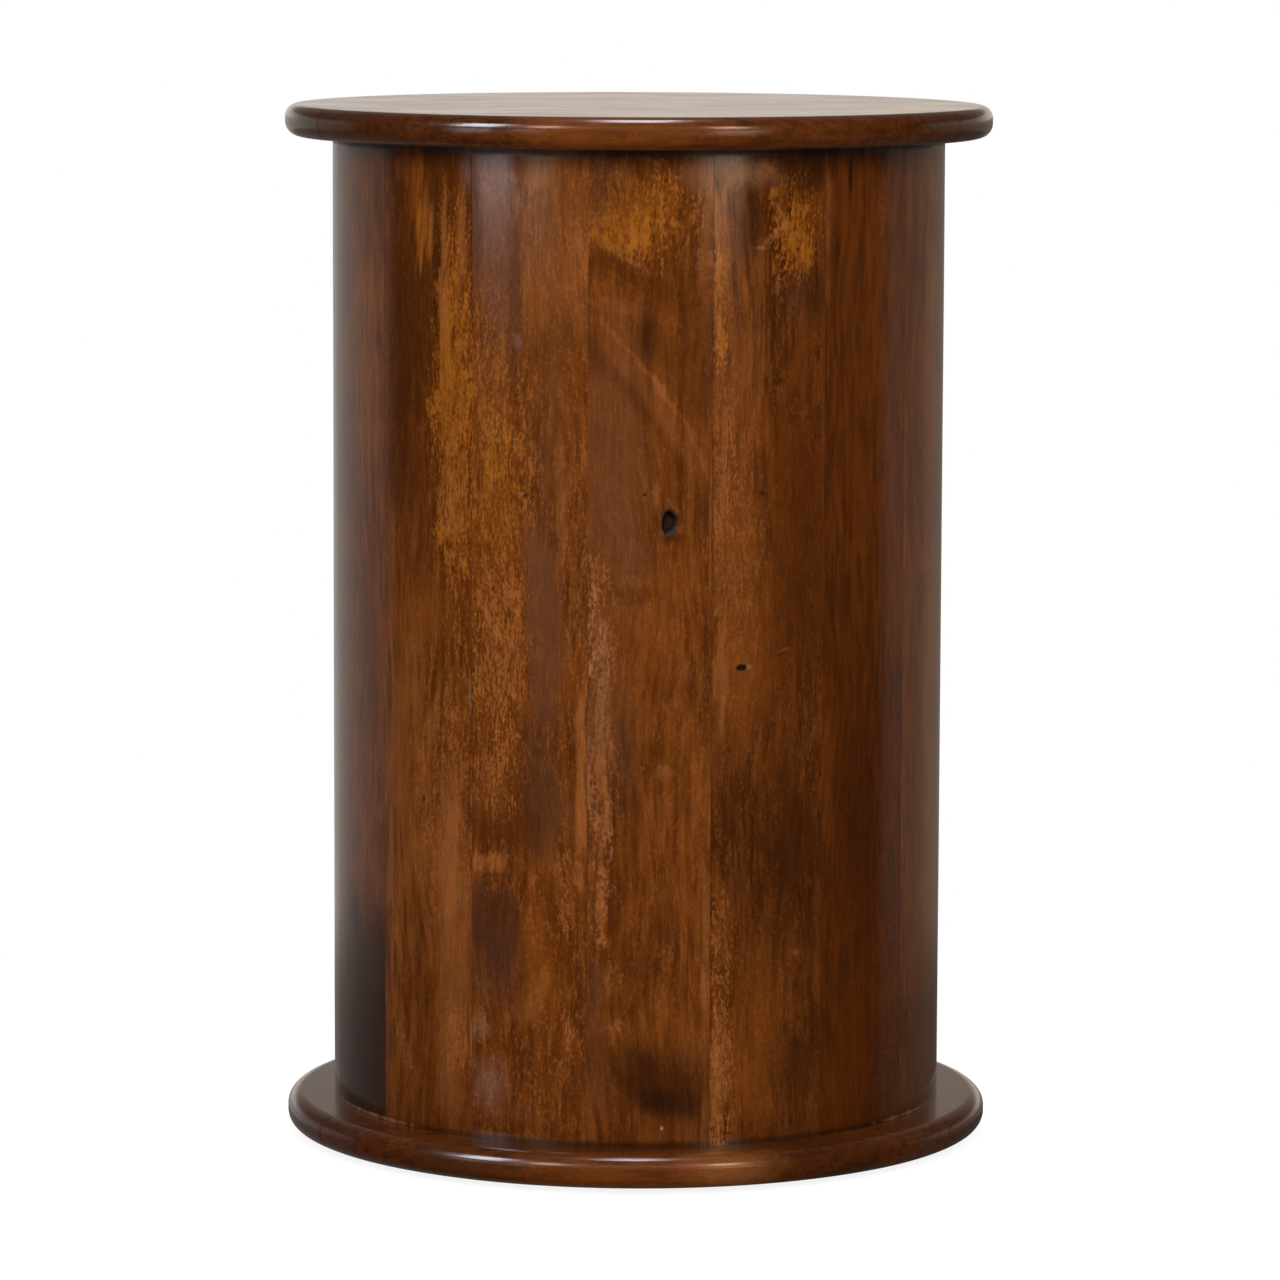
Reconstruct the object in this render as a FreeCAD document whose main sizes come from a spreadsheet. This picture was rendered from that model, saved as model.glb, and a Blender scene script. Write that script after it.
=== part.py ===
"""Round drum side table: a stave-built drum between two edge-glued round boards.

Millimetres, +Z up.  The origin is on the floor at the centre of the table, and
the front faces -Y.  Angles named "from the front" grow towards +X.
"""
import FreeCAD, Part
import math
import os

import Sketcher

FRONT_HEADING = -90
QUARTER_TURN = 90
SAME_LEVEL = 1e-6
ROUND_SHARE = 0.49
STAVE_SCREW_PLACE = 0.75
RING_JOINT_PLACE = 0.25

# Driving dimensions: name, value, what it measures
SIZES = [
    ("total_height", 513, "floor to the upper face of the top"),
    ("top_diameter", 350, "round top, across"),
    ("top_thickness", 15.5, "boards of the top"),
    ("top_upper_round", 6, "radius along the top's upper edge"),
    ("top_lower_round", 7, "radius along the top's lower edge"),
    ("top_board_count", 4, "boards glued edge to edge into the top"),
    ("base_diameter", 350, "round base, across"),
    ("base_thickness", 16.5, "boards of the base"),
    ("base_upper_round", 7, "radius along the base's upper edge"),
    ("base_lower_round", 7, "radius along the base's lower edge"),
    ("base_board_count", 4, "boards glued edge to edge into the base"),
    ("drum_diameter", 303, "outside of the drum"),
    ("stave_thickness", 20, "stave at its middle, outside face to inside flat"),
    ("stave_count", 16, "staves around the drum"),
    ("seam_angle", -9, "stave seam nearest the front, degrees from the front"),
    ("glue_line", 0.1, "room for glue between wooden pieces"),
    ("spline_thickness", 4, "loose tongue in a stave joint, along the radius"),
    ("spline_width", 12, "loose tongue across the joint"),
    ("spline_fit", 0.1, "room around a loose tongue in its grooves"),
    ("spline_end_room", 0.5, "loose tongue short of the drum at either end"),
    ("ring_width", 30, "inner ring along the radius"),
    ("ring_thickness", 20, "inner ring, up and down"),
    ("ring_fit", 0.15, "room between an inner ring and the staves' flats"),
    ("ring_segment_count", 4, "segments in an inner ring"),
    ("dowel_diameter", 8, "dowels in the board joints"),
    ("dowel_length", 30, "dowels, half in either board"),
    ("dowel_fit", 0.1, "room around a dowel"),
    ("dowel_end_room", 0.5, "room past either end of a dowel"),
    ("dowel_count", 3, "dowels along one board joint"),
    ("dowel_margin", 60, "outer dowels from the end of their joint"),
    ("disc_screw_diameter", 4, "screws that hold the top and the base"),
    ("disc_screw_head", 8, "their countersunk heads, across"),
    ("disc_screw_head_height", 2.4, "their countersunk heads, tall"),
    ("top_screw_bite", 10, "top screws, length in the top's boards"),
    ("base_screw_bite", 15, "base screws, length in the lower ring"),
    ("stave_screw_diameter", 3.5, "screws from a ring into the staves"),
    ("stave_screw_head", 7, "their countersunk heads, across"),
    ("stave_screw_head_height", 2.1, "their countersunk heads, tall"),
    ("stave_screw_bite", 10, "stave screws, length in the staves"),
    ("screw_tip", 4, "pointed end of a screw"),
    ("screw_sink", 0.3, "screw heads below the wood"),
    ("screw_fit", 0.1, "room around a screw"),
    ("glide_count", 4, "glides under the base"),
    ("glide_angle", 45, "first glide, degrees from the front"),
    ("glide_diameter", 22, "a glide's pad, across"),
    ("glide_height", 3, "a glide's pad, tall"),
    ("glide_round", 0.8, "radius along a pad's lower edge"),
    ("nail_diameter", 2, "nail that holds a pad"),
    ("nail_head", 6, "its head, across"),
    ("nail_head_height", 0.8, "its head, tall"),
    ("nail_sink", 0.7, "its head above the floor"),
    ("nail_bite", 11, "its length in the base"),
    ("nail_tip", 3, "its pointed end"),
    ("nail_fit", 0.1, "room around the nail"),
    ("nail_room", 3, "middle of the nail past the ends of the base's dowels"),
    ("knot_angle", 5.5, "open knot in the front stave, degrees from the front"),
    ("knot_level", 321, "open knot above the floor"),
    ("knot_width", 8, "open knot across the stave"),
    ("knot_length", 11, "open knot along the stave"),
    ("knot_depth", 4, "open knot into the stave"),
]

doc = FreeCAD.newDocument("drum_side_table")
sheet = doc.addObject("Spreadsheet::Sheet", "Sizes")
for row, (alias, number, meaning) in enumerate(SIZES, start=1):
    sheet.set(f"A{row}", alias)
    sheet.set(f"B{row}", str(number))
    sheet.set(f"C{row}", meaning)
    sheet.setAlias(f"B{row}", alias)
doc.recompute()

# Lengths and angles that follow from the driving dimensions
BASE_TOP = "(Sizes.glide_height + Sizes.base_thickness)"
DRUM_TOP = "(Sizes.total_height - Sizes.top_thickness)"
DRUM_HEIGHT = f"({DRUM_TOP} - {BASE_TOP})"
DRUM_RADIUS = "(Sizes.drum_diameter / 2)"
FLAT_RADIUS = f"({DRUM_RADIUS} - Sizes.stave_thickness)"
STAVE_PITCH = "(360 / Sizes.stave_count)"
SEAM_HEADING = f"({FRONT_HEADING} + Sizes.seam_angle)"
JOINT_RADIUS = f"(({DRUM_RADIUS} + {FLAT_RADIUS} / cos({STAVE_PITCH} * 0.5deg)) / 2)"
RING_OUTER = f"({FLAT_RADIUS} - Sizes.ring_fit)"
RING_INNER = f"({RING_OUTER} - Sizes.ring_width)"
RING_MIDDLE = f"({RING_OUTER} - Sizes.ring_width / 2)"
UPPER_RING_BOTTOM = f"({DRUM_TOP} - Sizes.ring_thickness)"
OUTER_JOINT = f"({RING_MIDDLE} * cos(180deg / Sizes.base_board_count))"
NAIL_PLACE = f"({OUTER_JOINT} + Sizes.dowel_length / 2 + Sizes.dowel_end_room + Sizes.nail_room)"
BASE_FLAT = "(Sizes.base_diameter / 2 - Sizes.base_lower_round)"
GLIDE_RADIUS = (f"min({NAIL_PLACE} / cos(Sizes.glide_angle * 1deg);"
                f" {BASE_FLAT} - Sizes.glide_diameter / 2)")
GLUE_TURN = "(Sizes.glue_line / 2 * 180 / pi)"


def value(expression):
    """The number that an expression on the sheet gives now."""
    return float(sheet.evalExpression(expression))


def count(alias):
    """A whole number from the sheet."""
    return round(value(f"Sizes.{alias}"))


def origin_feature(body, role):
    """One of a body's own planes or axes."""
    return next(item for item in body.Origin.OriginFeatures if item.Role == role)


def new_body(label, several=False):
    """An empty body, which may hold several separate solids."""
    body = doc.addObject("PartDesign::Body", label)
    body.Label = label
    body.AllowCompound = several
    return body


def new_sketch(body, plane):
    """An empty sketch on one of a body's own planes."""
    sketch = body.newObject("Sketcher::SketchObject", f"{body.Name}_sketch")
    sketch.AttachmentSupport = (origin_feature(body, plane), [""])
    sketch.MapMode = "FlatFace"
    return sketch


def bind(sketch, constraint, name, expression):
    """Add a dimension to a sketch and tie it to the sheet."""
    index = sketch.addConstraint(constraint)
    sketch.renameConstraint(index, name)
    sketch.setExpression(f"Constraints.{name}", expression)


def draw_polygon(sketch, corners):
    """Closed outline with every corner placed from the axes by two expressions."""
    places = [FreeCAD.Vector(value(across), value(up), 0) for across, up in corners]
    for index, place in enumerate(places):
        following = places[(index + 1) % len(places)]
        sketch.addGeometry(Part.LineSegment(place, following), False)
    for index, (across, up) in enumerate(corners):
        before = (index - 1) % len(corners)
        sketch.addConstraint(Sketcher.Constraint("Coincident", before, 2, index, 1))
        if across == "0":
            sketch.addConstraint(Sketcher.Constraint("PointOnObject", index, 1, -2))
        else:
            constraint = Sketcher.Constraint("DistanceX", -1, 1, index, 1, places[index].x)
            bind(sketch, constraint, f"across_{index}", across)
        if up == "0":
            sketch.addConstraint(Sketcher.Constraint("PointOnObject", index, 1, -1))
        else:
            constraint = Sketcher.Constraint("DistanceY", -1, 1, index, 1, places[index].y)
            bind(sketch, constraint, f"up_{index}", up)


def draw_radial_side(sketch, line, angle):
    """Hold a line on a radius that stands at an angle from the X axis."""
    sketch.addConstraint(Sketcher.Constraint("PointOnObject", -1, 1, line))
    constraint = Sketcher.Constraint("Angle", line, math.radians(value(angle)))
    bind(sketch, constraint, f"side_{line}", f"{angle} * 1deg")


def polar(radius, degrees):
    """A point in the sketch plane."""
    turn = math.radians(degrees)
    return FreeCAD.Vector(radius * math.cos(turn), radius * math.sin(turn), 0)


def centred_arc(radius, half_angle):
    """Arc about the origin, as far to either side of the X axis."""
    circle = Part.Circle(FreeCAD.Vector(), FreeCAD.Vector(0, 0, 1), radius)
    half = math.radians(half_angle)
    return Part.ArcOfCircle(circle, -half, half)


def draw_stave(sketch):
    """Stave section: round outside, radial sides and a flat inside."""
    half_angle = f"({STAVE_PITCH} / 2 - {GLUE_TURN} / {DRUM_RADIUS})"
    half = value(half_angle)
    outside = value(DRUM_RADIUS)
    inside = value(FLAT_RADIUS) / math.cos(math.radians(half))
    sketch.addGeometry(centred_arc(outside, half), False)
    sketch.addGeometry(Part.LineSegment(polar(inside, half), polar(outside, half)), False)
    sketch.addGeometry(Part.LineSegment(polar(inside, -half), polar(outside, -half)), False)
    sketch.addGeometry(Part.LineSegment(polar(inside, -half), polar(inside, half)), False)
    for pair in [(0, 3, -1, 1), (0, 2, 1, 2), (0, 1, 2, 2), (2, 1, 3, 1), (3, 2, 1, 1)]:
        sketch.addConstraint(Sketcher.Constraint("Coincident", *pair))
    bind(sketch, Sketcher.Constraint("Radius", 0, outside), "outside", DRUM_RADIUS)
    draw_radial_side(sketch, 1, half_angle)
    draw_radial_side(sketch, 2, f"-{half_angle}")
    sketch.addConstraint(Sketcher.Constraint("Vertical", 3))
    flat = Sketcher.Constraint("DistanceX", -1, 1, 3, 1, value(FLAT_RADIUS))
    bind(sketch, flat, "flat", FLAT_RADIUS)


def draw_ring_segment(sketch):
    """Segment of an inner ring: two arcs about one centre and two radial ends."""
    half_angle = f"(180 / Sizes.ring_segment_count - {GLUE_TURN} / {RING_OUTER})"
    half = value(half_angle)
    outside = value(RING_OUTER)
    inside = value(RING_INNER)
    sketch.addGeometry(centred_arc(outside, half), False)
    sketch.addGeometry(Part.LineSegment(polar(inside, half), polar(outside, half)), False)
    sketch.addGeometry(Part.LineSegment(polar(inside, -half), polar(outside, -half)), False)
    sketch.addGeometry(centred_arc(inside, half), False)
    centres = [(0, 3, -1, 1), (3, 3, -1, 1)]
    ends = [(0, 2, 1, 2), (0, 1, 2, 2), (3, 1, 2, 1), (3, 2, 1, 1)]
    for pair in centres + ends:
        sketch.addConstraint(Sketcher.Constraint("Coincident", *pair))
    bind(sketch, Sketcher.Constraint("Radius", 0, outside), "outside", RING_OUTER)
    bind(sketch, Sketcher.Constraint("Radius", 3, inside), "inside", RING_INNER)
    draw_radial_side(sketch, 1, half_angle)
    draw_radial_side(sketch, 2, f"-{half_angle}")


def draw_tongue(sketch, thickness, width):
    """Rectangle in the middle of a stave joint that runs along the sketch's X axis."""
    near = f"{JOINT_RADIUS} - ({thickness}) / 2"
    far = f"{JOINT_RADIUS} + ({thickness}) / 2"
    left = value(near)
    right = value(far)
    half = value(f"({width}) / 2")
    corners = [(left, -half), (right, -half), (right, half), (left, half)]
    for index, start in enumerate(corners):
        end = corners[(index + 1) % len(corners)]
        line = Part.LineSegment(FreeCAD.Vector(*start, 0), FreeCAD.Vector(*end, 0))
        sketch.addGeometry(line, False)
    for index in range(len(corners)):
        before = (index - 1) % len(corners)
        sketch.addConstraint(Sketcher.Constraint("Coincident", before, 2, index, 1))
    for line, direction in [(0, "Horizontal"), (2, "Horizontal"), (3, "Vertical")]:
        sketch.addConstraint(Sketcher.Constraint(direction, line))
    sketch.addConstraint(Sketcher.Constraint("Symmetric", 1, 1, 1, 2, -1))
    bind(sketch, Sketcher.Constraint("DistanceX", -1, 1, 0, 1, left), "near", near)
    bind(sketch, Sketcher.Constraint("DistanceX", -1, 1, 0, 2, right), "far", far)
    bind(sketch, Sketcher.Constraint("DistanceY", 1, 1, 1, 2, 2 * half), "width", width)


def pad(body, sketch, length):
    """Raise a sketch along +Z."""
    feature = body.newObject("PartDesign::Pad", f"{body.Name}_pad")
    feature.Profile = (sketch, [""])
    feature.setExpression("Length", length)
    return feature


def revolve(body, sketch, axis):
    """Turn a sketch right round one of its own lines."""
    feature = body.newObject("PartDesign::Revolution", f"{body.Name}_turned")
    feature.Profile = (sketch, [""])
    feature.ReferenceAxis = (sketch, [axis])
    feature.Angle = 4 * QUARTER_TURN
    return feature


def repeat_around(body, feature, copies, spacing):
    """Repeat a feature around the Z axis."""
    pattern = body.newObject("PartDesign::PolarPattern", f"{body.Name}_pattern")
    pattern.Originals = [feature]
    pattern.Axis = (origin_feature(body, "Z_Axis"), [""])
    pattern.Mode = "Spacing"
    pattern.setExpression("Occurrences", copies)
    pattern.setExpression("Offset", spacing)
    body.Tip = pattern


def turn_and_lift(item, heading, level):
    """Place a piece about the Z axis and at a height."""
    item.Placement.Rotation = FreeCAD.Rotation(FreeCAD.Vector(0, 0, 1), 1)
    item.setExpression("Placement.Rotation.Angle", heading)
    item.setExpression("Placement.Base.z", level)


def fillet_rim(body, level, radius):
    """Round the circular rim that lies at one height of a turned body."""
    doc.recompute()
    height = value(level)
    rims = []
    for number, edge in enumerate(body.Shape.Edges, start=1):
        box = edge.BoundBox
        is_flat = box.ZLength < SAME_LEVEL and abs(box.ZMin - height) < SAME_LEVEL
        if is_flat and edge.Curve.TypeId == "Part::GeomCircle":
            rims.append(f"Edge{number}")
    feature = body.newObject("PartDesign::Fillet", f"{body.Name}_round")
    feature.Base = (body.Group[-2], rims)
    feature.setExpression("Radius", radius)
    body.Tip = feature


def cut(label, item, tools):
    """What is left of a piece after its holes are cut."""
    holes = doc.addObject("Part::Compound", f"{label}_holes")
    holes.Links = tools
    piece = doc.addObject("Part::Cut", label)
    piece.Label = label
    piece.Base = item
    piece.Tool = holes
    return piece


def make_disc(label, diameter, thickness, upper_round, lower_round, level):
    """Round blank with its upper and lower edges rounded.

    Each rounding stays within its own half of the thickness.
    """
    body = new_body(label)
    sketch = new_sketch(body, "XZ_Plane")
    radius = f"{diameter} / 2"
    draw_polygon(sketch, [("0", "0"), (radius, "0"), (radius, thickness), ("0", thickness)])
    revolve(body, sketch, "V_Axis")
    widest = f"{ROUND_SHARE} * {thickness}"
    fillet_rim(body, thickness, f"min({upper_round}; {widest})")
    fillet_rim(body, "0", f"min({lower_round}; {widest})")
    body.setExpression("Placement.Base.z", level)
    return body


def joint_place(boards, joint):
    """Where a board joint lies along Y.

    Every board takes the same angle of the inner ring, so that two screws hold each one.
    """
    return f"(-{RING_MIDDLE} * cos({joint} * 180deg / Sizes.{boards}))"


def make_slab(label, index, boards, diameter, thickness, level):
    """Straight board wide enough for one strip of a round blank.

    The outer boards run past the rim, and the others stop at their glue lines.
    """
    start = f"({joint_place(boards, index)} + Sizes.glue_line / 2)"
    end = f"({joint_place(boards, index + 1)} - Sizes.glue_line / 2)"
    if index == 0:
        start = f"-{diameter}"
    if index == count(boards) - 1:
        end = diameter
    slab = doc.addObject("Part::Box", label)
    slab.setExpression("Length", f"2 * {diameter}")
    slab.setExpression("Width", f"{end} - ({start})")
    slab.setExpression("Height", f"3 * {thickness}")
    slab.setExpression("Placement.Base.x", f"-{diameter}")
    slab.setExpression("Placement.Base.y", start)
    slab.setExpression("Placement.Base.z", f"{level} - {thickness}")
    return slab


def make_rod(label, radius, length, across, along, level):
    """Rod that lies along Y, centred on one point."""
    rod = doc.addObject("Part::Cylinder", label)
    rod.setExpression("Radius", radius)
    rod.setExpression("Height", length)
    rod.Placement.Rotation = FreeCAD.Rotation(FreeCAD.Vector(1, 0, 0), -QUARTER_TURN)
    rod.setExpression("Placement.Base.x", across)
    rod.setExpression("Placement.Base.y", f"{along} - ({length}) / 2")
    rod.setExpression("Placement.Base.z", level)
    return rod


def make_dowels(label, boards, diameter, level):
    """Dowels of every board joint in a round board, and the holes for them."""
    pins = []
    holes = []
    copies = count("dowel_count")
    for joint in range(1, count(boards)):
        along = joint_place(boards, joint)
        half_joint = f"sqrt(({diameter} / 2) ^ 2 - {along} ^ 2)"
        for index in range(copies):
            share = f"(2 * {index} / max(Sizes.dowel_count - 1; 1) - 1)"
            across = f"{share} * ({half_joint} - Sizes.dowel_margin)"
            name = f"{label}_{joint}_{index}"
            pin = make_rod(
                name, "Sizes.dowel_diameter / 2", "Sizes.dowel_length", across, along, level)
            hole = make_rod(
                f"{name}_hole", "Sizes.dowel_diameter / 2 + Sizes.dowel_fit",
                "Sizes.dowel_length + 2 * Sizes.dowel_end_room", across, along, level)
            pins.append(pin)
            holes.append(hole)
    group = doc.addObject("Part::Compound", label)
    group.Label = label
    group.Links = pins
    return group, holes


def fastener_outline(start, head, head_height, shank, tip, length, fit, mouth):
    """Half outline of a countersunk fastener as pairs (along its axis, from its axis).

    The outline grows by fit on every side, and a mouth leads into the head of a hole.
    """
    head_radius = f"{head} / 2 + {fit}"
    shank_radius = f"{shank} / 2 + {fit}"
    outline = [(f"{start} - {mouth}", "0"), (f"{start} - {mouth}", head_radius)]
    if mouth != "0":
        outline.append((start, head_radius))
    outline.append((f"{start} + {head_height}", shank_radius))
    outline.append((f"{start} + {length} - {tip}", shank_radius))
    outline.append((f"{start} + {length} + {fit}", "0"))
    return outline


def draw_axis(sketch, last):
    """Construction line between the two corners that an upright fastener turns about."""
    line = Part.LineSegment(sketch.getPoint(0, 1), sketch.getPoint(last, 1))
    axis = sketch.addGeometry(line, True)
    sketch.addConstraint(Sketcher.Constraint("Coincident", axis, 1, 0, 1))
    sketch.addConstraint(Sketcher.Constraint("Coincident", axis, 2, last, 1))


def make_upright_screws(label, boards, length, level, fit="0", mouth="0"):
    """Screws with their heads down, two in every board of the top or the base.

    The sketch starts two head heights up, which leaves room for the mouth of a hole.
    """
    body = new_body(label, several=True)
    sketch = new_sketch(body, "XZ_Plane")
    outline = fastener_outline(
        "2 * Sizes.disc_screw_head_height", "Sizes.disc_screw_head",
        "Sizes.disc_screw_head_height", "Sizes.disc_screw_diameter",
        "Sizes.screw_tip", length, fit, mouth)
    corners = [(f"{RING_MIDDLE} + {away}", along) for along, away in outline]
    draw_polygon(sketch, corners)
    draw_axis(sketch, len(corners) - 1)
    screw = revolve(body, sketch, "Axis0")
    repeat_around(body, screw, f"2 * Sizes.{boards}", f"180 / Sizes.{boards}")
    lift = f"{level} + Sizes.screw_sink - 2 * Sizes.disc_screw_head_height"
    turn_and_lift(body, f"90 / Sizes.{boards}", lift)
    return body


def make_stave_screws(label, level, fit="0", mouth="0"):
    """Screws that point outwards from an inner ring, one into every stave.

    They stand off the middle of a stave, clear of the screws of the top and the base.
    """
    body = new_body(label, several=True)
    sketch = new_sketch(body, "XZ_Plane")
    length = "(Sizes.ring_width + Sizes.ring_fit - Sizes.screw_sink + Sizes.stave_screw_bite)"
    outline = fastener_outline(
        f"{RING_INNER} + Sizes.screw_sink", "Sizes.stave_screw_head",
        "Sizes.stave_screw_head_height", "Sizes.stave_screw_diameter",
        "Sizes.screw_tip", length, fit, mouth)
    draw_polygon(sketch, outline)
    screw = revolve(body, sketch, "H_Axis")
    repeat_around(body, screw, "Sizes.stave_count", STAVE_PITCH)
    turn_and_lift(body, f"{SEAM_HEADING} + {STAVE_SCREW_PLACE} * {STAVE_PITCH}", level)
    return body


def make_nails(label, fit="0", mouth="0"):
    """Nails that hold the glides, with their flat heads down."""
    body = new_body(label, several=True)
    sketch = new_sketch(body, "XZ_Plane")
    length = "(Sizes.glide_height - Sizes.nail_sink + Sizes.nail_bite)"
    head = f"Sizes.nail_head / 2 + {fit}"
    shank = f"Sizes.nail_diameter / 2 + {fit}"
    neck = f"Sizes.nail_sink + Sizes.nail_head_height + {fit}"
    bottom = f"Sizes.nail_sink - {mouth}"
    outline = [
        (bottom, "0"), (bottom, head), (neck, head), (neck, shank),
        (f"Sizes.nail_sink + {length} - Sizes.nail_tip", shank),
        (f"Sizes.nail_sink + {length} + {fit}", "0")]
    draw_polygon(sketch, [(f"{GLIDE_RADIUS} + {away}", along) for along, away in outline])
    draw_axis(sketch, len(outline) - 1)
    nail = revolve(body, sketch, "Axis0")
    repeat_around(body, nail, "Sizes.glide_count", "360 / Sizes.glide_count")
    turn_and_lift(body, f"{FRONT_HEADING} + Sizes.glide_angle", "0")
    return body


def make_glides(label, nail_holes):
    """Round pads under the base, each with a rounded lower edge and its nail hole."""
    body = new_body(f"{label}_blank", several=True)
    sketch = new_sketch(body, "XY_Plane")
    centre = FreeCAD.Vector(value(GLIDE_RADIUS), 0, 0)
    radius = value("Sizes.glide_diameter / 2")
    sketch.addGeometry(Part.Circle(centre, FreeCAD.Vector(0, 0, 1), radius), False)
    sketch.addConstraint(Sketcher.Constraint("PointOnObject", 0, 3, -1))
    place = Sketcher.Constraint("DistanceX", -1, 1, 0, 3, centre.x)
    bind(sketch, place, "place", GLIDE_RADIUS)
    bind(sketch, Sketcher.Constraint("Radius", 0, radius), "radius", "Sizes.glide_diameter / 2")
    disc = pad(body, sketch, "Sizes.glide_height")
    repeat_around(body, disc, "Sizes.glide_count", "360 / Sizes.glide_count")
    fillet_rim(body, "0", f"min(Sizes.glide_round; {ROUND_SHARE} * Sizes.glide_height)")
    turn_and_lift(body, f"{FRONT_HEADING} + Sizes.glide_angle", "0")
    return cut(label, body, [nail_holes])


def make_round_board(label, boards, diameter, thickness, rounds, level, tools):
    """Boards that make up the top or the base, cut from one round blank."""
    blank = make_disc(f"{label}_blank", diameter, thickness, rounds[0], rounds[1], level)
    pieces = []
    for index in range(count(boards)):
        name = f"{label}_board_{index + 1}"
        slab = make_slab(f"{name}_slab", index, boards, diameter, thickness, level)
        strip = doc.addObject("Part::Common", f"{name}_strip")
        strip.Base = blank
        strip.Tool = slab
        pieces.append(cut(name, strip, tools))
    return pieces


def make_stave(label, index, tools):
    """One stave with a groove for a loose tongue down either side."""
    body = new_body(f"{label}_blank")
    section = new_sketch(body, "XY_Plane")
    draw_stave(section)
    pad(body, section, DRUM_HEIGHT)
    groove = new_sketch(body, "XY_Plane")
    groove.AttachmentOffset.Rotation = FreeCAD.Rotation(FreeCAD.Vector(0, 0, 1), 1)
    groove.setExpression("AttachmentOffset.Rotation.Angle", f"{STAVE_PITCH} / 2")
    draw_tongue(groove, "Sizes.spline_thickness + 2 * Sizes.spline_fit",
                "Sizes.spline_width + 2 * Sizes.spline_fit")
    pocket = body.newObject("PartDesign::Pocket", f"{label}_groove")
    pocket.Profile = (groove, [""])
    pocket.Type = "ThroughAll"
    pocket.Reversed = True
    mirror = body.newObject("PartDesign::Mirrored", f"{label}_grooves")
    mirror.Originals = [pocket]
    mirror.MirrorPlane = (origin_feature(body, "XZ_Plane"), [""])
    body.Tip = mirror
    turn_and_lift(body, f"{SEAM_HEADING} + {index + 0.5} * {STAVE_PITCH}", BASE_TOP)
    return cut(label, body, tools)


def make_splines(label):
    """Loose tongues, one in every stave joint."""
    body = new_body(label, several=True)
    sketch = new_sketch(body, "XY_Plane")
    draw_tongue(sketch, "Sizes.spline_thickness", "Sizes.spline_width")
    tongue = pad(body, sketch, f"{DRUM_HEIGHT} - 2 * Sizes.spline_end_room")
    repeat_around(body, tongue, "Sizes.stave_count", STAVE_PITCH)
    turn_and_lift(body, SEAM_HEADING, f"{BASE_TOP} + Sizes.spline_end_room")
    return body


def make_ring(label, level, tools):
    """Segments of an inner ring, with their ends away from stave seams and screws."""
    pieces = []
    span = "(360 / Sizes.ring_segment_count)"
    for index in range(count("ring_segment_count")):
        name = f"{label}_segment_{index + 1}"
        body = new_body(f"{name}_blank")
        sketch = new_sketch(body, "XY_Plane")
        draw_ring_segment(sketch)
        pad(body, sketch, "Sizes.ring_thickness")
        first = f"{SEAM_HEADING} + {RING_JOINT_PLACE} * {STAVE_PITCH}"
        heading = f"{first} + {index + 0.5} * {span}"
        turn_and_lift(body, heading, level)
        pieces.append(cut(name, body, tools))
    return pieces


def make_knot(label):
    """Hollow of the open knot in the face of the front stave."""
    knot = doc.addObject("Part::Ellipsoid", label)
    knot.Angle1 = -QUARTER_TURN
    knot.Angle2 = QUARTER_TURN
    knot.Angle3 = 4 * QUARTER_TURN
    knot.setExpression("Radius1", "Sizes.knot_length / 2")
    knot.setExpression("Radius2", "Sizes.knot_depth")
    knot.setExpression("Radius3", "Sizes.knot_width / 2")
    heading = f"({FRONT_HEADING} + Sizes.knot_angle)"
    turn_and_lift(knot, heading, "Sizes.knot_level")
    knot.setExpression("Placement.Base.x", f"{DRUM_RADIUS} * cos({heading} * 1deg)")
    knot.setExpression("Placement.Base.y", f"{DRUM_RADIUS} * sin({heading} * 1deg)")
    return knot


# Fasteners and the holes for them
top_screw_length = "(Sizes.ring_thickness - Sizes.screw_sink + Sizes.top_screw_bite)"
base_screw_length = "(Sizes.base_thickness - Sizes.screw_sink + Sizes.base_screw_bite)"
upper_middle = f"({DRUM_TOP} - Sizes.ring_thickness / 2)"
lower_middle = f"({BASE_TOP} + Sizes.ring_thickness / 2)"
screw_room = {"fit": "Sizes.screw_fit", "mouth": "Sizes.disc_screw_head_height"}
stave_screw_room = {"fit": "Sizes.screw_fit", "mouth": "Sizes.stave_screw_head_height"}

top_screw_set = ("top_board_count", top_screw_length, UPPER_RING_BOTTOM)
top_screws = make_upright_screws("top_screws", *top_screw_set)
top_screw_holes = make_upright_screws("top_screw_holes", *top_screw_set, **screw_room)
base_screw_set = ("base_board_count", base_screw_length, "Sizes.glide_height")
base_screws = make_upright_screws("base_screws", *base_screw_set)
base_screw_holes = make_upright_screws("base_screw_holes", *base_screw_set, **screw_room)
upper_stave_screws = make_stave_screws("upper_stave_screws", upper_middle)
upper_stave_holes = make_stave_screws("upper_stave_holes", upper_middle, **stave_screw_room)
lower_stave_screws = make_stave_screws("lower_stave_screws", lower_middle)
lower_stave_holes = make_stave_screws("lower_stave_holes", lower_middle, **stave_screw_room)
glide_nails = make_nails("glide_nails")
glide_nail_holes = make_nails("glide_nail_holes", "Sizes.nail_fit", "Sizes.nail_sink")
top_dowels, top_dowel_holes = make_dowels(
    "top_dowels", "top_board_count", "Sizes.top_diameter",
    f"{DRUM_TOP} + Sizes.top_thickness / 2")
base_dowels, base_dowel_holes = make_dowels(
    "base_dowels", "base_board_count", "Sizes.base_diameter",
    "Sizes.glide_height + Sizes.base_thickness / 2")

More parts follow.
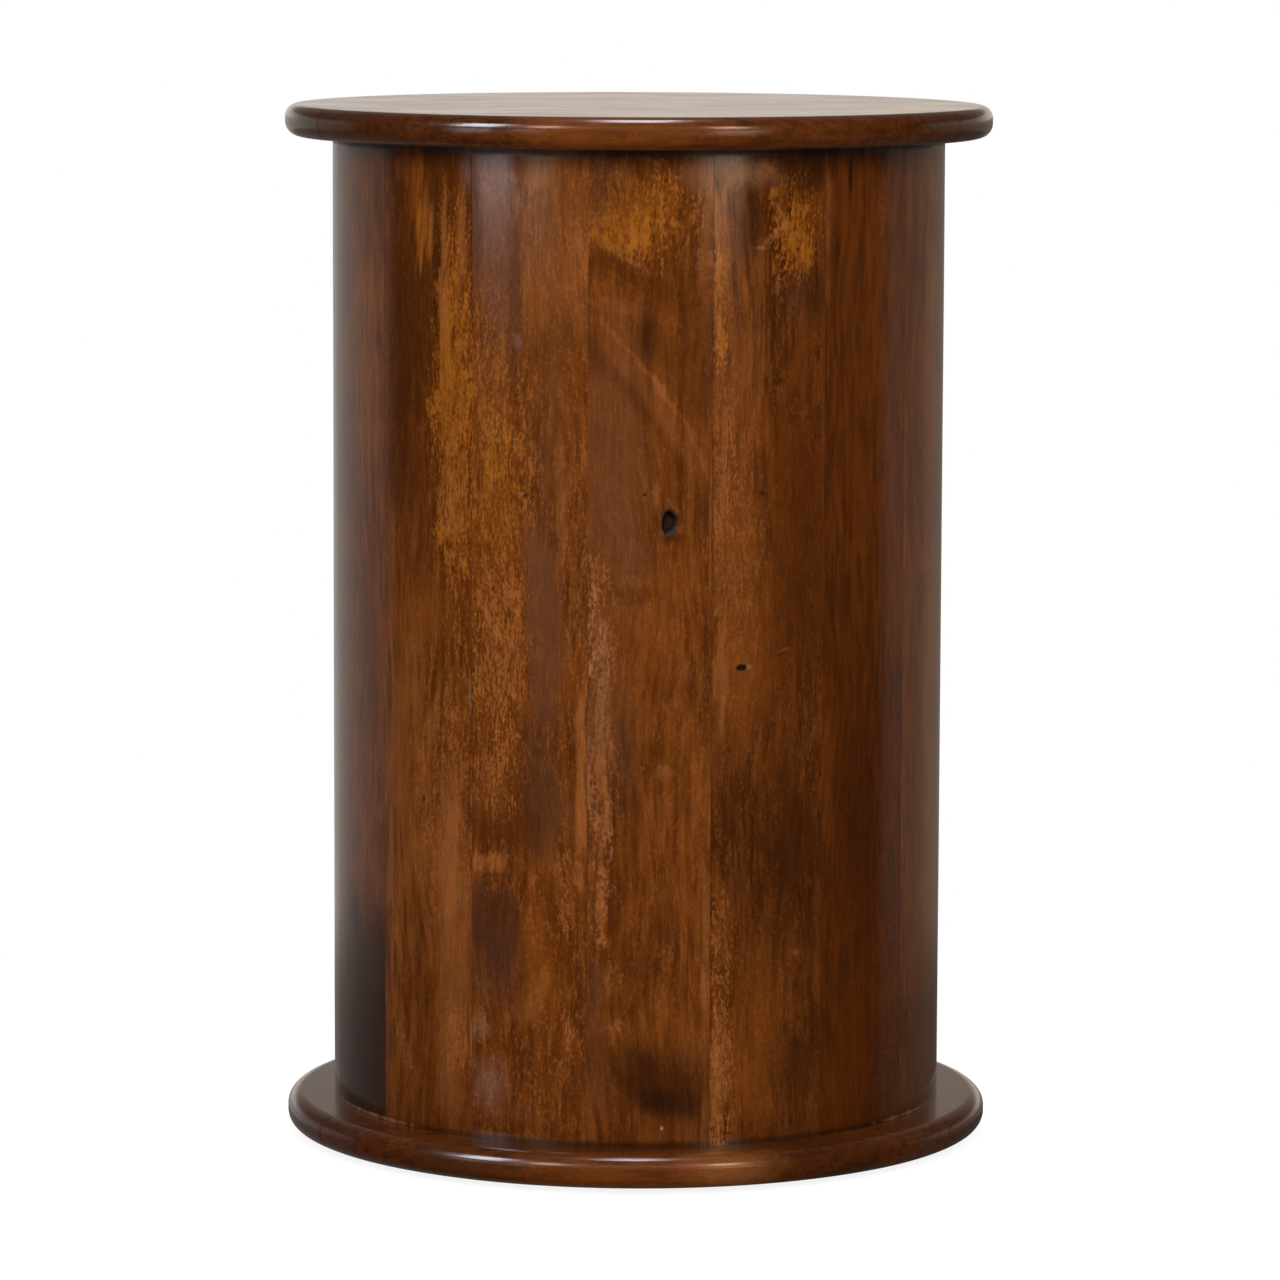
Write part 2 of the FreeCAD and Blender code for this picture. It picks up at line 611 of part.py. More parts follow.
# Wooden pieces
subparts = make_round_board(
    "top", "top_board_count", "Sizes.top_diameter", "Sizes.top_thickness",
    ("Sizes.top_upper_round", "Sizes.top_lower_round"), DRUM_TOP,
    top_dowel_holes + [top_screw_holes])
subparts += make_round_board(
    "base", "base_board_count", "Sizes.base_diameter", "Sizes.base_thickness",
    ("Sizes.base_upper_round", "Sizes.base_lower_round"), "Sizes.glide_height",
    base_dowel_holes + [base_screw_holes, glide_nail_holes])
knot_hollow = make_knot("knot_hollow")
stave_tools = [upper_stave_holes, lower_stave_holes]
for stave_index in range(count("stave_count")):
    knot_tools = [knot_hollow] if stave_index == 0 else []
    subparts.append(make_stave(f"stave_{stave_index + 1:02d}", stave_index,
                               stave_tools + knot_tools))
subparts += make_ring("upper_ring", UPPER_RING_BOTTOM, [upper_stave_holes, top_screw_holes])
subparts += make_ring("lower_ring", BASE_TOP, [lower_stave_holes, base_screw_holes])
subparts += [make_splines("stave_splines"), top_dowels, base_dowels]
subparts += [top_screws, base_screws, upper_stave_screws, lower_stave_screws]
subparts += [make_glides("glide_pads", glide_nail_holes), glide_nails]
doc.recompute()

for item in doc.Objects:
    if "Invalid" in item.State or "Error" in item.State:
        raise RuntimeError(f"{item.Label} failed: {item.State}")
for piece in subparts:
    if piece.Shape.isNull() or not piece.Shape.isValid() or not piece.Shape.Solids:
        raise RuntimeError(f"{piece.Label} has no valid solid")

os.makedirs("parts", exist_ok=True)
for piece in subparts:
    piece.Shape.exportStep(f"parts/{piece.Label}.step")
    solids = len(piece.Shape.Solids)
    print(f"{piece.Label}: {solids} solid(s), {piece.Shape.Volume / 1000:.2f} cm3")
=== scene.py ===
"""Looks of the drum side table: stained staves between two round boards, in a pale studio.

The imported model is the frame. The staves and the boards are modelled again here with eased
edges, hand-finished faces and an open knot. Every other node keeps its shape and gets a finish.
"""

import logging
import math
from dataclasses import dataclass, field, replace
from enum import Enum
from functools import reduce

import bmesh
import bpy
from mathutils import Matrix, Vector, noise


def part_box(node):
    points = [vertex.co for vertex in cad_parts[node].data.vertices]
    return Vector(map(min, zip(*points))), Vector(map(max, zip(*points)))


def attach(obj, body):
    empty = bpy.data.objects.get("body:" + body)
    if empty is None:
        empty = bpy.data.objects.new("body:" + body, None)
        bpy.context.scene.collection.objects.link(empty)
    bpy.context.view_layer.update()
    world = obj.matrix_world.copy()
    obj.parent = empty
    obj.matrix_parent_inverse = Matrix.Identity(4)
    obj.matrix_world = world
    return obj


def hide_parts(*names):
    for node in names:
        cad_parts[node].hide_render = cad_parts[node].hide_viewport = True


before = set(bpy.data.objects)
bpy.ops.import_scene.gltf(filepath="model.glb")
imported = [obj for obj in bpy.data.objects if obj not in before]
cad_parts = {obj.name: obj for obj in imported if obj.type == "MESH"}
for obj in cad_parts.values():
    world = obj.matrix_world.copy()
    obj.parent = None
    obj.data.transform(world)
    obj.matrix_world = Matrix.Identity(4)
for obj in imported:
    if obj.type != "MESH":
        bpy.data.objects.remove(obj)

log = logging.getLogger("drum_side_table")

MM = 0.001
BODY = "root"
WHITE = (1.0, 1.0, 1.0, 1.0)

Socket = bpy.types.NodeSocket
Source = Socket | float | tuple
Span = tuple[float, float]


class Slot(Enum):
    """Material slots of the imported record."""

    DRUM = "drum_wood"
    TOP = "top_wood"
    BASE = "base_wood"


class Field(Enum):
    """Wood pattern that breaks up the edge of a patch, and how far it shows inside the patch."""

    SOFT = ("Soft", 0.35)
    STREAK = ("Streak", 0.6)
    FLECK = ("Fleck", 0.9)
    BURL = ("Burl", 0.75)
    SOLID = ("Soft", 0.0)


class Tone(Enum):
    """Colours of stained and plain wood and of painted sheen, as they look in plain light, out of 255."""

    GOLD = (158, 92, 26)
    AMBER = (132, 70, 16)
    ORANGE = (150, 88, 42)
    LIGHT = (134, 78, 36)
    WARM = (120, 63, 20)
    MID = (106, 53, 15)
    RED = (88, 39, 5)
    BROWN = (84, 40, 10)
    DARK = (68, 31, 7)
    DEEP = (50, 22, 5)
    INK = (26, 11, 4)
    MAUVE = (104, 60, 34)
    DUSK = (78, 45, 27)
    # painted sheen: a soft pale reflection of the lamps in the lacquer, painted into the colour
    PAINTED_SHEEN = (134, 102, 88)
    # pale wood, and also painted sheen and painted highlight lines where noted
    PALE = (152, 106, 74)
    CHALK = (196, 166, 146)
    RAW_DARK = (168, 124, 78)
    RAW_LIGHT = (206, 168, 118)
    PEG_DARK = (186, 148, 104)
    PEG_LIGHT = (218, 186, 144)

    @property
    def linear(self) -> tuple[float, float, float, float]:
        """The tone as a shader colour."""
        return (*(((c / 255 + 0.055) / 1.055) ** 2.4 for c in self.value), 1.0)


@dataclass(frozen=True)
class Patch:
    """A stain or figure in the wood.

    Places and sizes are in millimetres across and along the grain, and the lean is in degrees. A dull
    patch takes that much of the shine off. Some patches are painted shade, sheen or highlights rather
    than stains.
    """

    at: Span
    half: Span
    tone: Tone
    amount: float = 0.8
    pattern: Field = Field.STREAK
    ragged: float = 0.5
    soft: float = 0.5
    lean: float = 0.0
    dull: float = 0.0


class NodeBench:
    """Places and joins the nodes of one node tree."""

    def __init__(self, tree: bpy.types.NodeTree) -> None:
        """Keep the tree that the nodes go into."""
        self.tree = tree

    def feed(self, socket: Socket, source: Source) -> None:
        """Join a socket to a source, or set its value."""
        if isinstance(source, Socket):
            self.tree.links.new(source, socket)
        else:
            socket.default_value = source

    def add(self, kind: str, inputs: dict | None = None, **settings) -> bpy.types.Node:
        """Place a node.

        Args:
            kind: Blender's name of the node's type.
            inputs: sources by the name or number of the socket that they feed.
            settings: the node's own options.

        Returns:
            The new node.
        """
        node = self.tree.nodes.new(kind)
        for name, option in settings.items():
            setattr(node, name, option)
        for name, source in (inputs or {}).items():
            self.feed(node.inputs[name], source)
        return node

    def math(self, operation: str, first: Source, second: Source = 0.0) -> Socket:
        """The result of a Math node."""
        return self.add("ShaderNodeMath", {0: first, 1: second}, operation=operation).outputs[0]

    def vector(self, operation: str, first: Source, second: Source) -> Socket:
        """The vector that a Vector Math node gives."""
        return self.add("ShaderNodeVectorMath", {0: first, 1: second}, operation=operation).outputs[0]

    def scale(self, vector: Socket, amount: Source) -> Socket:
        """A vector or colour times a number."""
        node = self.add("ShaderNodeVectorMath", {0: vector, "Scale": amount}, operation="SCALE")
        return node.outputs[0]

    def level_length(self, parts: dict) -> Socket:
        """Length of a vector's level part, from its separate X and Y."""
        squares = [self.math("POWER", parts[axis], 2.0) for axis in "XY"]
        return self.math("SQRT", self.math("ADD", *squares))

    def step(self, source: Socket, edges: tuple[Source, Source], result: Span = (0.0, 1.0),
             smooth: bool = True) -> Socket:
        """A value carried from one span to another, and held at its ends.

        Args:
            source: the value to carry over.
            edges: where the span starts and ends.
            result: what the value becomes there.
            smooth: ease in and out instead of going straight.

        Returns:
            The carried value.
        """
        sources = {1: edges[0], 2: edges[1], 3: result[0], 4: result[1], 0: source}
        kind = "SMOOTHSTEP" if smooth else "LINEAR"
        return self.add("ShaderNodeMapRange", sources, interpolation_type=kind).outputs[0]

    def mix(self, share: Source, first: Source, second: Source) -> Socket:
        """A colour between two colours."""
        sources = {0: share, 6: first, 7: second}
        return self.add("ShaderNodeMix", sources, data_type="RGBA").outputs[2]

    def noise(self, place: Socket, grain: tuple, detail: float, warp: float = 0.0) -> Socket:
        """Noise stretched along the grain.

        Args:
            place: position in millimetres.
            grain: size of the pattern along each axis of the position.
            detail: how many finer layers are added.
            warp: how far the pattern is twisted.

        Returns:
            Noise from 0 to 1 with even contrast.
        """
        scaled = self.vector("DIVIDE", place, grain)
        sources = {"Vector": scaled, "Scale": 1.0, "Detail": detail, "Distortion": warp}
        return self.step(self.add("ShaderNodeTexNoise", sources).outputs[0], (0.3, 0.7), smooth=False)


class MaterialBench(NodeBench):
    """A bench for a new material and its shader."""

    def __init__(self, name: str) -> None:
        """Start a material of that name."""
        self.material = bpy.data.materials.new(name)
        self.material.use_nodes = True
        super().__init__(self.material.node_tree)
        self.shader = self.tree.nodes["Principled BSDF"].inputs

    def emboss(self, height: Socket, strength: float, distance: float) -> None:
        """Give the shader relief.

        Args:
            height: the pattern that stands out.
            strength: how much of it shows.
            distance: how far it stands out, in metres.
        """
        relief = self.add("ShaderNodeBump", {"Strength": strength, "Distance": distance, "Height": height})
        self.feed(self.shader["Normal"], relief.outputs[0])


class WoodGroups:
    """Shader node groups that the wood finishes share."""

    def __init__(self) -> None:
        """Build every group once."""
        self.place = self._stave_place()
        self.fields = self._wood_fields()
        self.patch = self._stain_and_painted_light_patch()
        self.lacquer = self._lacquer()

    @staticmethod
    def _open(name: str, inputs: dict, outputs: dict) -> tuple[NodeBench, dict, dict]:
        """Start a group.

        Args:
            name: the group's name.
            inputs: kind of each input by its name.
            outputs: kind of each output by its name.

        Returns:
            Its bench, and its inner sockets by name, inputs first.
        """
        tree = bpy.data.node_groups.new(name, "ShaderNodeTree")
        for side, sockets in (("INPUT", inputs), ("OUTPUT", outputs)):
            for label, kind in sockets.items():
                tree.interface.new_socket(label, in_out=side, socket_type=f"NodeSocket{kind}")
        bench = NodeBench(tree)
        start = bench.add("NodeGroupInput")
        end = bench.add("NodeGroupOutput")
        given = {label: start.outputs[label] for label in inputs}
        wanted = {label: end.inputs[label] for label in outputs}
        return bench, given, wanted

    def _stave_place(self) -> bpy.types.NodeTree:
        """Place on a stave that faces the front: across, up and out, in millimetres."""
        bench, given, wanted = self._open("stave_place", {"Position": "Vector"}, {"Place": "Vector"})
        parts = bench.add("ShaderNodeSeparateXYZ", {0: given["Position"]}).outputs
        ahead = bench.math("MULTIPLY", parts["Y"], -1.0)
        turn = bench.math("ARCTAN2", parts["X"], ahead)
        out = bench.level_length(parts)
        across = bench.math("MULTIPLY", turn, out)
        place = bench.add("ShaderNodeCombineXYZ", {0: across, 1: parts["Z"], 2: out}).outputs[0]
        bench.feed(wanted["Place"], bench.scale(place, 1.0 / MM))
        return bench.tree

    def _wood_fields(self) -> bpy.types.NodeTree:
        """Patterns of wood on a place whose second axis runs along the grain."""
        outputs = {name: "Float" for name in ("Soft", "Streak", "Fleck", "Burl", "Fine")}
        bench, given, wanted = self._open("wood_fields", {"Place": "Vector", "Seed": "Float"}, outputs)
        start = bench.scale(bench.add("ShaderNodeCombineXYZ", {0: 1.0, 1: 1.7, 2: 0.6}).outputs[0],
                            given["Seed"])
        place = bench.vector("ADD", given["Place"], start)
        drift = bench.noise(place, (38.0, 130.0, 38.0), 1.0)
        sway = bench.math("MULTIPLY", bench.math("SUBTRACT", drift, 0.5), 9.0)
        swayed = bench.vector("ADD", place, bench.add("ShaderNodeCombineXYZ", {0: sway}).outputs[0])
        bench.feed(wanted["Soft"], bench.noise(place, (34.0, 62.0, 34.0), 3.0, 0.4))
        strokes = bench.math("MULTIPLY", bench.noise(swayed, (3.2, 24.0, 3.2), 3.0), 0.65)
        grain = bench.math("MULTIPLY", bench.noise(swayed, (3.6, 110.0, 3.6), 2.0), 0.35)
        lines = bench.math("ADD", strokes, grain)
        bench.feed(wanted["Streak"], bench.step(lines, (0.15, 0.85), smooth=False))
        dots = bench.math("MULTIPLY", bench.noise(swayed, (0.9, 2.0, 0.9), 2.0), 0.45)
        dashes = bench.math("MULTIPLY", bench.noise(swayed, (1.3, 9.0, 1.3), 2.0), 0.30)
        gathered = bench.math("MULTIPLY", bench.noise(place, (4.0, 15.0, 4.0), 2.0, 0.5), 0.25)
        flecks = bench.math("ADD", dots, bench.math("ADD", dashes, gathered))
        bench.feed(wanted["Fleck"], bench.step(flecks, (0.2, 0.8), smooth=False))
        bench.feed(wanted["Fine"], bench.noise(swayed, (0.9, 18.0, 0.9), 2.0))
        folded = bench.math("SUBTRACT", bench.noise(place, (7.5, 10.0, 7.5), 2.0, 0.7), 0.5)
        fold = bench.math("ABSOLUTE", folded)
        veins = bench.math("MULTIPLY", bench.step(fold, (0.0, 0.30), (1.0, 0.0)), 0.4)
        knurl = bench.math("MULTIPLY", bench.noise(place, (4.5, 6.5, 4.5), 3.0, 0.9), 0.6)
        bench.feed(wanted["Burl"], bench.math("ADD", veins, knurl))
        return bench.tree

    def _stain_and_painted_light_patch(self) -> bpy.types.NodeTree:
        """Mask of a leaning oval patch whose edge is broken up by a pattern of the wood."""
        numbers = ("Pattern", "Across", "Up", "Half Width", "Half Height", "Lean", "Ragged", "Soft",
                   "Inner", "Amount")
        inputs = {"Place": "Vector"} | {name: "Float" for name in numbers}
        bench, given, wanted = self._open("stain_and_painted_light_patch", inputs, {"Mask": "Float"})
        parts = bench.add("ShaderNodeSeparateXYZ", {0: given["Place"]}).outputs
        across = bench.math("SUBTRACT", parts["X"], given["Across"])
        up = bench.math("SUBTRACT", parts["Y"], given["Up"])
        cosine = bench.math("COSINE", given["Lean"])
        sine = bench.math("SINE", given["Lean"])
        wide = bench.math("ADD", bench.math("MULTIPLY", across, cosine),
                          bench.math("MULTIPLY", up, sine))
        tall = bench.math("SUBTRACT", bench.math("MULTIPLY", up, cosine),
                          bench.math("MULTIPLY", across, sine))
        wide = bench.math("POWER", bench.math("DIVIDE", wide, given["Half Width"]), 2.0)
        tall = bench.math("POWER", bench.math("DIVIDE", tall, given["Half Height"]), 2.0)
        inside = bench.math("SUBTRACT", 1.0, bench.math("SQRT", bench.math("ADD", wide, tall)))
        wave = bench.math("MULTIPLY", bench.math("SUBTRACT", given["Pattern"], 0.5), 2.0)
        edge = bench.math("ADD", inside, bench.math("MULTIPLY", wave, given["Ragged"]))
        lower = bench.math("MULTIPLY", given["Soft"], -1.0)
        mask = bench.step(edge, (lower, given["Soft"]))
        gap = bench.math("MULTIPLY", bench.math("SUBTRACT", 1.0, given["Pattern"]), given["Inner"])
        broken = bench.math("MULTIPLY", mask, bench.math("SUBTRACT", 1.0, gap))
        bench.feed(wanted["Mask"], bench.math("MULTIPLY", broken, given["Amount"]))
        return bench.tree

    def _lacquer(self) -> bpy.types.NodeTree:
        """Uneven gloss and relief of a brushed lacquer over wood."""
        inputs = {name: "Float" for name in ("Fine", "Fleck", "Soft", "Gloss", "Dull")}
        outputs = {"Roughness": "Float", "Height": "Float"}
        bench, given, wanted = self._open("lacquer", inputs, outputs)
        scuffed = bench.math("MULTIPLY", given["Fine"], 0.03)
        cloud = bench.math("MULTIPLY", given["Soft"], 0.04)
        worn = bench.math("ADD", given["Gloss"], given["Dull"])
        bench.feed(wanted["Roughness"], bench.math("ADD", worn, bench.math("ADD", scuffed, cloud)))
        pores = bench.math("MULTIPLY", given["Fine"], 0.006)
        figure = bench.math("MULTIPLY", given["Fleck"], 0.006)
        brushed = bench.math("MULTIPLY", given["Soft"], 0.06)
        bench.feed(wanted["Height"], bench.math("ADD", pores, bench.math("ADD", figure, brushed)))
        return bench.tree


@dataclass(frozen=True)
class WoodLook:
    """How one piece of wood is figured, stained and lacquered, and where shade and sheen are painted on it.
    """

    seed: float
    dark: Tone
    light: Tone
    fleck: Tone = Tone.LIGHT
    flecks: float = 0.35
    depth: float = 0.5
    gloss: float = 0.09
    relief: float = 1.0
    patches: tuple[Patch, ...] = ()


@dataclass
class WoodFinish:
    """Makes wood materials from looks."""

    groups: WoodGroups

    def make(self, name: str, look: WoodLook, turn: float | None = None) -> bpy.types.Material:
        """Make one piece's material.

        Args:
            name: the material's name.
            look: the piece's figure, stain and painted shade and sheen.
            turn: heading of a stave from the front, or None for a board with its grain along X.

        Returns:
            The material.
        """
        bench = MaterialBench(name)
        place = self._board_place(bench) if turn is None else self._stave_place(bench, turn)
        wood = bench.add("ShaderNodeGroup", node_tree=self.groups.fields)
        bench.feed(wood.inputs["Place"], place)
        bench.feed(wood.inputs["Seed"], look.seed)
        fields = wood.outputs
        masks = [self._mask(bench, patch, place, fields) for patch in look.patches]
        bench.feed(bench.shader["Base Color"], self._stained(bench, look, fields, masks))
        coat = bench.add("ShaderNodeGroup", node_tree=self.groups.lacquer)
        for label in ("Fine", "Fleck", "Soft"):
            bench.feed(coat.inputs[label], fields[label])
        bench.feed(coat.inputs["Gloss"], look.gloss)
        worn = [bench.math("MULTIPLY", mask, patch.dull)
                for mask, patch in zip(masks, look.patches) if patch.dull > 0.0]
        if worn:
            most = reduce(lambda one, other: bench.math("MAXIMUM", one, other), worn)
            bench.feed(coat.inputs["Dull"], most)
        bench.feed(bench.shader["Roughness"], coat.outputs["Roughness"])
        bench.emboss(coat.outputs["Height"], 1.0, look.relief * MM)
        return bench.material

    def _stave_place(self, bench: NodeBench, turn: float) -> Socket:
        """Place on a stave, with the stave turned to the front first."""
        position = bench.add("ShaderNodeTexCoord").outputs["Object"]
        turned = bench.add("ShaderNodeMapping", {"Vector": position, "Rotation": (0.0, 0.0, -turn)})
        group = bench.add("ShaderNodeGroup", node_tree=self.groups.place)
        bench.feed(group.inputs["Position"], turned.outputs[0])
        return group.outputs["Place"]

    def _board_place(self, bench: NodeBench) -> Socket:
        """Place in a board: across the grain along Y, and along it on X."""
        position = bench.add("ShaderNodeTexCoord").outputs["Object"]
        parts = bench.add("ShaderNodeSeparateXYZ", {0: position}).outputs
        place = bench.add("ShaderNodeCombineXYZ", {0: parts["Y"], 1: parts["X"], 2: parts["Z"]})
        return bench.scale(place.outputs[0], 1.0 / MM)

    def _stained(self, bench: NodeBench, look: WoodLook, fields: dict, masks: list[Socket]) -> Socket:
        """Colour of the wood with its patches of stain, painted shade and painted sheen.

        Args:
            bench: the material's bench.
            look: figure, stain and painted shade and sheen of the piece.
            fields: patterns of the wood by name.
            masks: where each patch covers the wood.

        Returns:
            The colour.
        """
        streak = bench.math("MULTIPLY", fields["Streak"], 0.55)
        cloud = bench.math("MULTIPLY", fields["Soft"], 0.45)
        share = bench.step(bench.math("ADD", streak, cloud), (0.12, 0.88))
        colour = bench.mix(share, look.dark.linear, look.light.linear)
        flecked = bench.step(fields["Fleck"], (0.5, 0.95), (0.0, look.flecks))
        colour = bench.mix(flecked, colour, look.fleck.linear)
        for mask, patch in zip(masks, look.patches):
            colour = bench.mix(mask, colour, patch.tone.linear)
        fine = bench.math("ADD", bench.math("MULTIPLY", fields["Fine"], 0.4),
                          bench.math("MULTIPLY", fields["Fleck"], 0.6))
        half = look.depth / 2
        return bench.scale(colour, bench.step(fine, (0.0, 1.0), (1.0 - half, 1.0 + half), smooth=False))

    def _mask(self, bench: NodeBench, patch: Patch, place: Socket, fields: dict) -> Socket:
        """Where a patch covers the wood."""
        group = bench.add("ShaderNodeGroup", node_tree=self.groups.patch)
        sources = {
            "Place": place, "Pattern": fields[patch.pattern.value[0]],
            "Across": patch.at[0], "Up": patch.at[1],
            "Half Width": patch.half[0], "Half Height": patch.half[1],
            "Lean": math.radians(patch.lean), "Ragged": patch.ragged,
            "Soft": patch.soft, "Inner": patch.pattern.value[1], "Amount": patch.amount,
        }
        for label, source in sources.items():
            bench.feed(group.inputs[label], source)
        return group.outputs["Mask"]


@dataclass(frozen=True)
class PlainFinish:
    """A finish of one tone that varies with fine noise: steel or moulded plastic."""

    name: str
    low: tuple[float, float, float]
    high: tuple[float, float, float]
    grain: tuple[float, float, float]
    roughness: Span
    metallic: float = 0.0
    strength: float = 0.4
    relief: float = 0.02 * MM

    def make(self) -> bpy.types.Material:
        """Make the material."""
        bench = MaterialBench(self.name)
        position = bench.add("ShaderNodeTexCoord").outputs["Object"]
        pattern = bench.noise(bench.scale(position, 1.0 / MM), self.grain, 3.0)
        bench.feed(bench.shader["Base Color"], bench.mix(pattern, (*self.low, 1.0), (*self.high, 1.0)))
        bench.feed(bench.shader["Roughness"], bench.step(pattern, (0.0, 1.0), self.roughness))
        bench.emboss(pattern, self.strength, self.relief)
        bench.feed(bench.shader["Metallic"], self.metallic)
        return bench.material


def joined_box(nodes: list[str]) -> tuple[Vector, Vector]:
    """Lowest and highest corners of several nodes together."""
    boxes = [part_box(node) for node in nodes]
    low = Vector([min(box[0][axis] for box in boxes) for axis in range(3)])
    high = Vector([max(box[1][axis] for box in boxes) for axis in range(3)])
    return low, high


def numbered(stem: str) -> list[str]:
    """The frame's nodes whose names start with a stem, in order."""
    return sorted(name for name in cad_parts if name.startswith(stem))


def keep_piece(name: str, mesh: bmesh.types.BMesh, node: str, sharp: float) -> bpy.types.Object:
    """Turn a finished bmesh into a piece that stands for a node.

    Args:
        name: the piece's name.
        mesh: its shape, in place.
        node: the node that it stands for.
        sharp: angle in degrees from which an edge stays crisp.

    Returns:
        The piece.
    """
    bmesh.ops.recalc_face_normals(mesh, faces=mesh.faces)
    for face in mesh.faces:
        face.smooth = True
    for edge in mesh.edges:
        edge.smooth = edge.calc_face_angle(0.0) < math.radians(sharp)
    data = bpy.data.meshes.new(name)
    mesh.to_mesh(data)
    mesh.free()
    piece = bpy.data.objects.new(name, data)
    bpy.context.scene.collection.objects.link(piece)
    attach(piece, BODY)
    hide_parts(node)
    log.info("%s: %d faces", name, len(data.polygons))
    return piece


@dataclass(frozen=True)
class OpenKnot:
    """An open knot in the face of a stave, in millimetres from the stave's middle and the floor."""

    at: Span = (9.0, 320.8)
    half: Span = (3.3, 5.6)
    depth: float = 4.0
    windows: tuple[Span, ...] = ((15.0, 22.0), (12.0, 16.0), (9.0, 12.0), (7.0, 9.5))
    lip: float = 1.08
    slope: float = 0.5

    def reach(self, across: float, up: float) -> float:
        """Distance from the knot's middle, where 1 is its uneven rim."""
        wide = (across - self.at[0]) / self.half[0]
        tall = (up - self.at[1]) / self.half[1]
        turn = math.atan2(tall, wide)
        rim = 1.0 + 0.09 * math.sin(2 * turn + 0.6) + 0.10 * math.sin(3 * turn + 1.9)
        rim += 0.04 * math.sin(5 * turn)
        return math.hypot(wide, tall) / rim

    def sink(self, across: float, up: float) -> float:
        """How deep the wood lies under its face, in millimetres."""
        share = min(1.0, max(0.0, (self.lip - self.reach(across, up)) / self.slope))
        return self.depth * share * share * (3.0 - 2.0 * share)


@dataclass
class DrumWall:
    """The staves of the drum."""

    finish: WoodFinish
    looks: tuple[WoodLook, ...]
    knot: OpenKnot
    seam_turn: float = math.radians(-9.0)
    thickness: float = 20.0 * MM
    glue_line: float = 0.01 * MM
    groove: Span = (4.2 * MM, 6.1 * MM)
    eased_edge: float = 0.12 * MM
    unevenness: float = 0.16 * MM
    ripple: tuple[float, float, float] = (30.0, 11.0, 7.3)
    arc_cuts: int = 11
    rows: int = 44
    sharp: float = 20.0
    nodes: list[str] = field(default_factory=lambda: numbered("stave_0") + numbered("stave_1"))

    def __post_init__(self) -> None:
        """Take the drum's place from the frame."""
        low, high = joined_box(self.nodes)
        self.radius = (high.x - low.x) / 2
        self.bottom = low.z
        self.height = high.z - low.z
        self.pitch = math.tau / len(self.nodes)

    def build(self) -> None:
        """Build and dress every stave."""
        for index, node in enumerate(self.nodes):
            turn = self.seam_turn + (index + 0.5) * self.pitch
            mesh = self._blank()
            if index == 0:
                self._open_knot(mesh)
            self._roughen(mesh, index)
            bmesh.ops.rotate(mesh, verts=mesh.verts, matrix=Matrix.Rotation(turn, 3, "Z"))
            piece = keep_piece(f"drum_{node}", mesh, node, self.sharp)
            # every stave takes the painted corner shade first, under its own patches
            look = replace(self.looks[index], patches=self._painted_corner_shade() + self.looks[index].patches)
            piece.data.materials.append(self.finish.make(f"stained_{node}", look, turn))

    def _painted_corner_shade(self) -> tuple[Patch, ...]:
        """Painted shade in the corners under the top and over the base, darkest at each corner; it also
        dulls the gloss there.
        """
        top = (self.bottom + self.height) / MM
        bottom = self.bottom / MM
        # painted shade: a dark band along the top and one along the foot of every stave
        rows = ((top, 3.4, Tone.INK, 0.9, 0.5, 0.4), (top, 7.0, Tone.DEEP, 0.4, 0.7, 0.0),
                (bottom, 2.4, Tone.INK, 0.7, 0.6, 0.06), (bottom, 10.0, Tone.DEEP, 0.22, 0.8, 0.0))
        across = 400.0
        return tuple(Patch((0.0, level), (across, reach), tone, amount, Field.SOLID, 0.15, soft, dull=dull)
                     for level, reach, tone, amount, soft, dull in rows)

    def _section(self) -> list[Span]:
        """Corners of a stave's section at the front, from its inside left round to its outside left."""
        middle = self.pitch / 2
        side = middle - self.glue_line / 2 / self.radius
        flat = (self.radius - self.thickness) / math.cos(side)
        joint = (self.radius + (self.radius - self.thickness) / math.cos(middle)) / 2
        near = joint - self.groove[0] / 2
        far = joint + self.groove[0] / 2
        into = Vector((-math.cos(middle), -math.sin(middle))) * self.groove[1]
        along = Vector((math.sin(middle), -math.cos(middle)))
        rim = Vector((math.sin(side), -math.cos(side)))
        right = [rim * flat, rim * near, along * near + into, along * far + into, rim * far,
                 rim * self.radius]
        left = [Vector((-point.x, point.y)) for point in reversed(right)]
        return [tuple(point) for point in right + left]

    def _blank(self) -> bmesh.types.BMesh:
        """A plain stave at the front: round outside, flat inside, with eased outer edges."""
        mesh = bmesh.new()
        corners = [mesh.verts.new((x, y, self.bottom)) for x, y in self._section()]
        face = mesh.faces.new(corners)
        outside = mesh.edges.get(corners[5:7])
        rim_places = [corner.co.xy.copy() for corner in corners[5:7]]
        cut = bmesh.ops.subdivide_edges(mesh, edges=[outside], cuts=self.arc_cuts)
        for vert in cut["geom_inner"]:
            if isinstance(vert, bmesh.types.BMVert):
                vert.co.xy = vert.co.xy.normalized() * self.radius
        raised = bmesh.ops.extrude_face_region(mesh, geom=[face])
        top = [item for item in raised["geom"] if isinstance(item, bmesh.types.BMVert)]
        bmesh.ops.translate(mesh, verts=top, vec=(0.0, 0.0, self.height))
        rim = [self._upright(mesh, place) for place in rim_places]
        bmesh.ops.bevel(mesh, geom=rim, offset=self.eased_edge, affect="EDGES", segments=2,
                        profile=0.5, material=-1)
        bmesh.ops.subdivide_edges(mesh, edges=self._uprights(mesh), cuts=self.rows - 1, use_grid_fill=True)
        bmesh.ops.recalc_face_normals(mesh, faces=mesh.faces)
        return mesh

    def _uprights(self, mesh: bmesh.types.BMesh) -> list[bmesh.types.BMEdge]:
        """The edges that run from the bottom to the top."""
        return [edge for edge in mesh.edges if edge.calc_length() > self.height / 2]

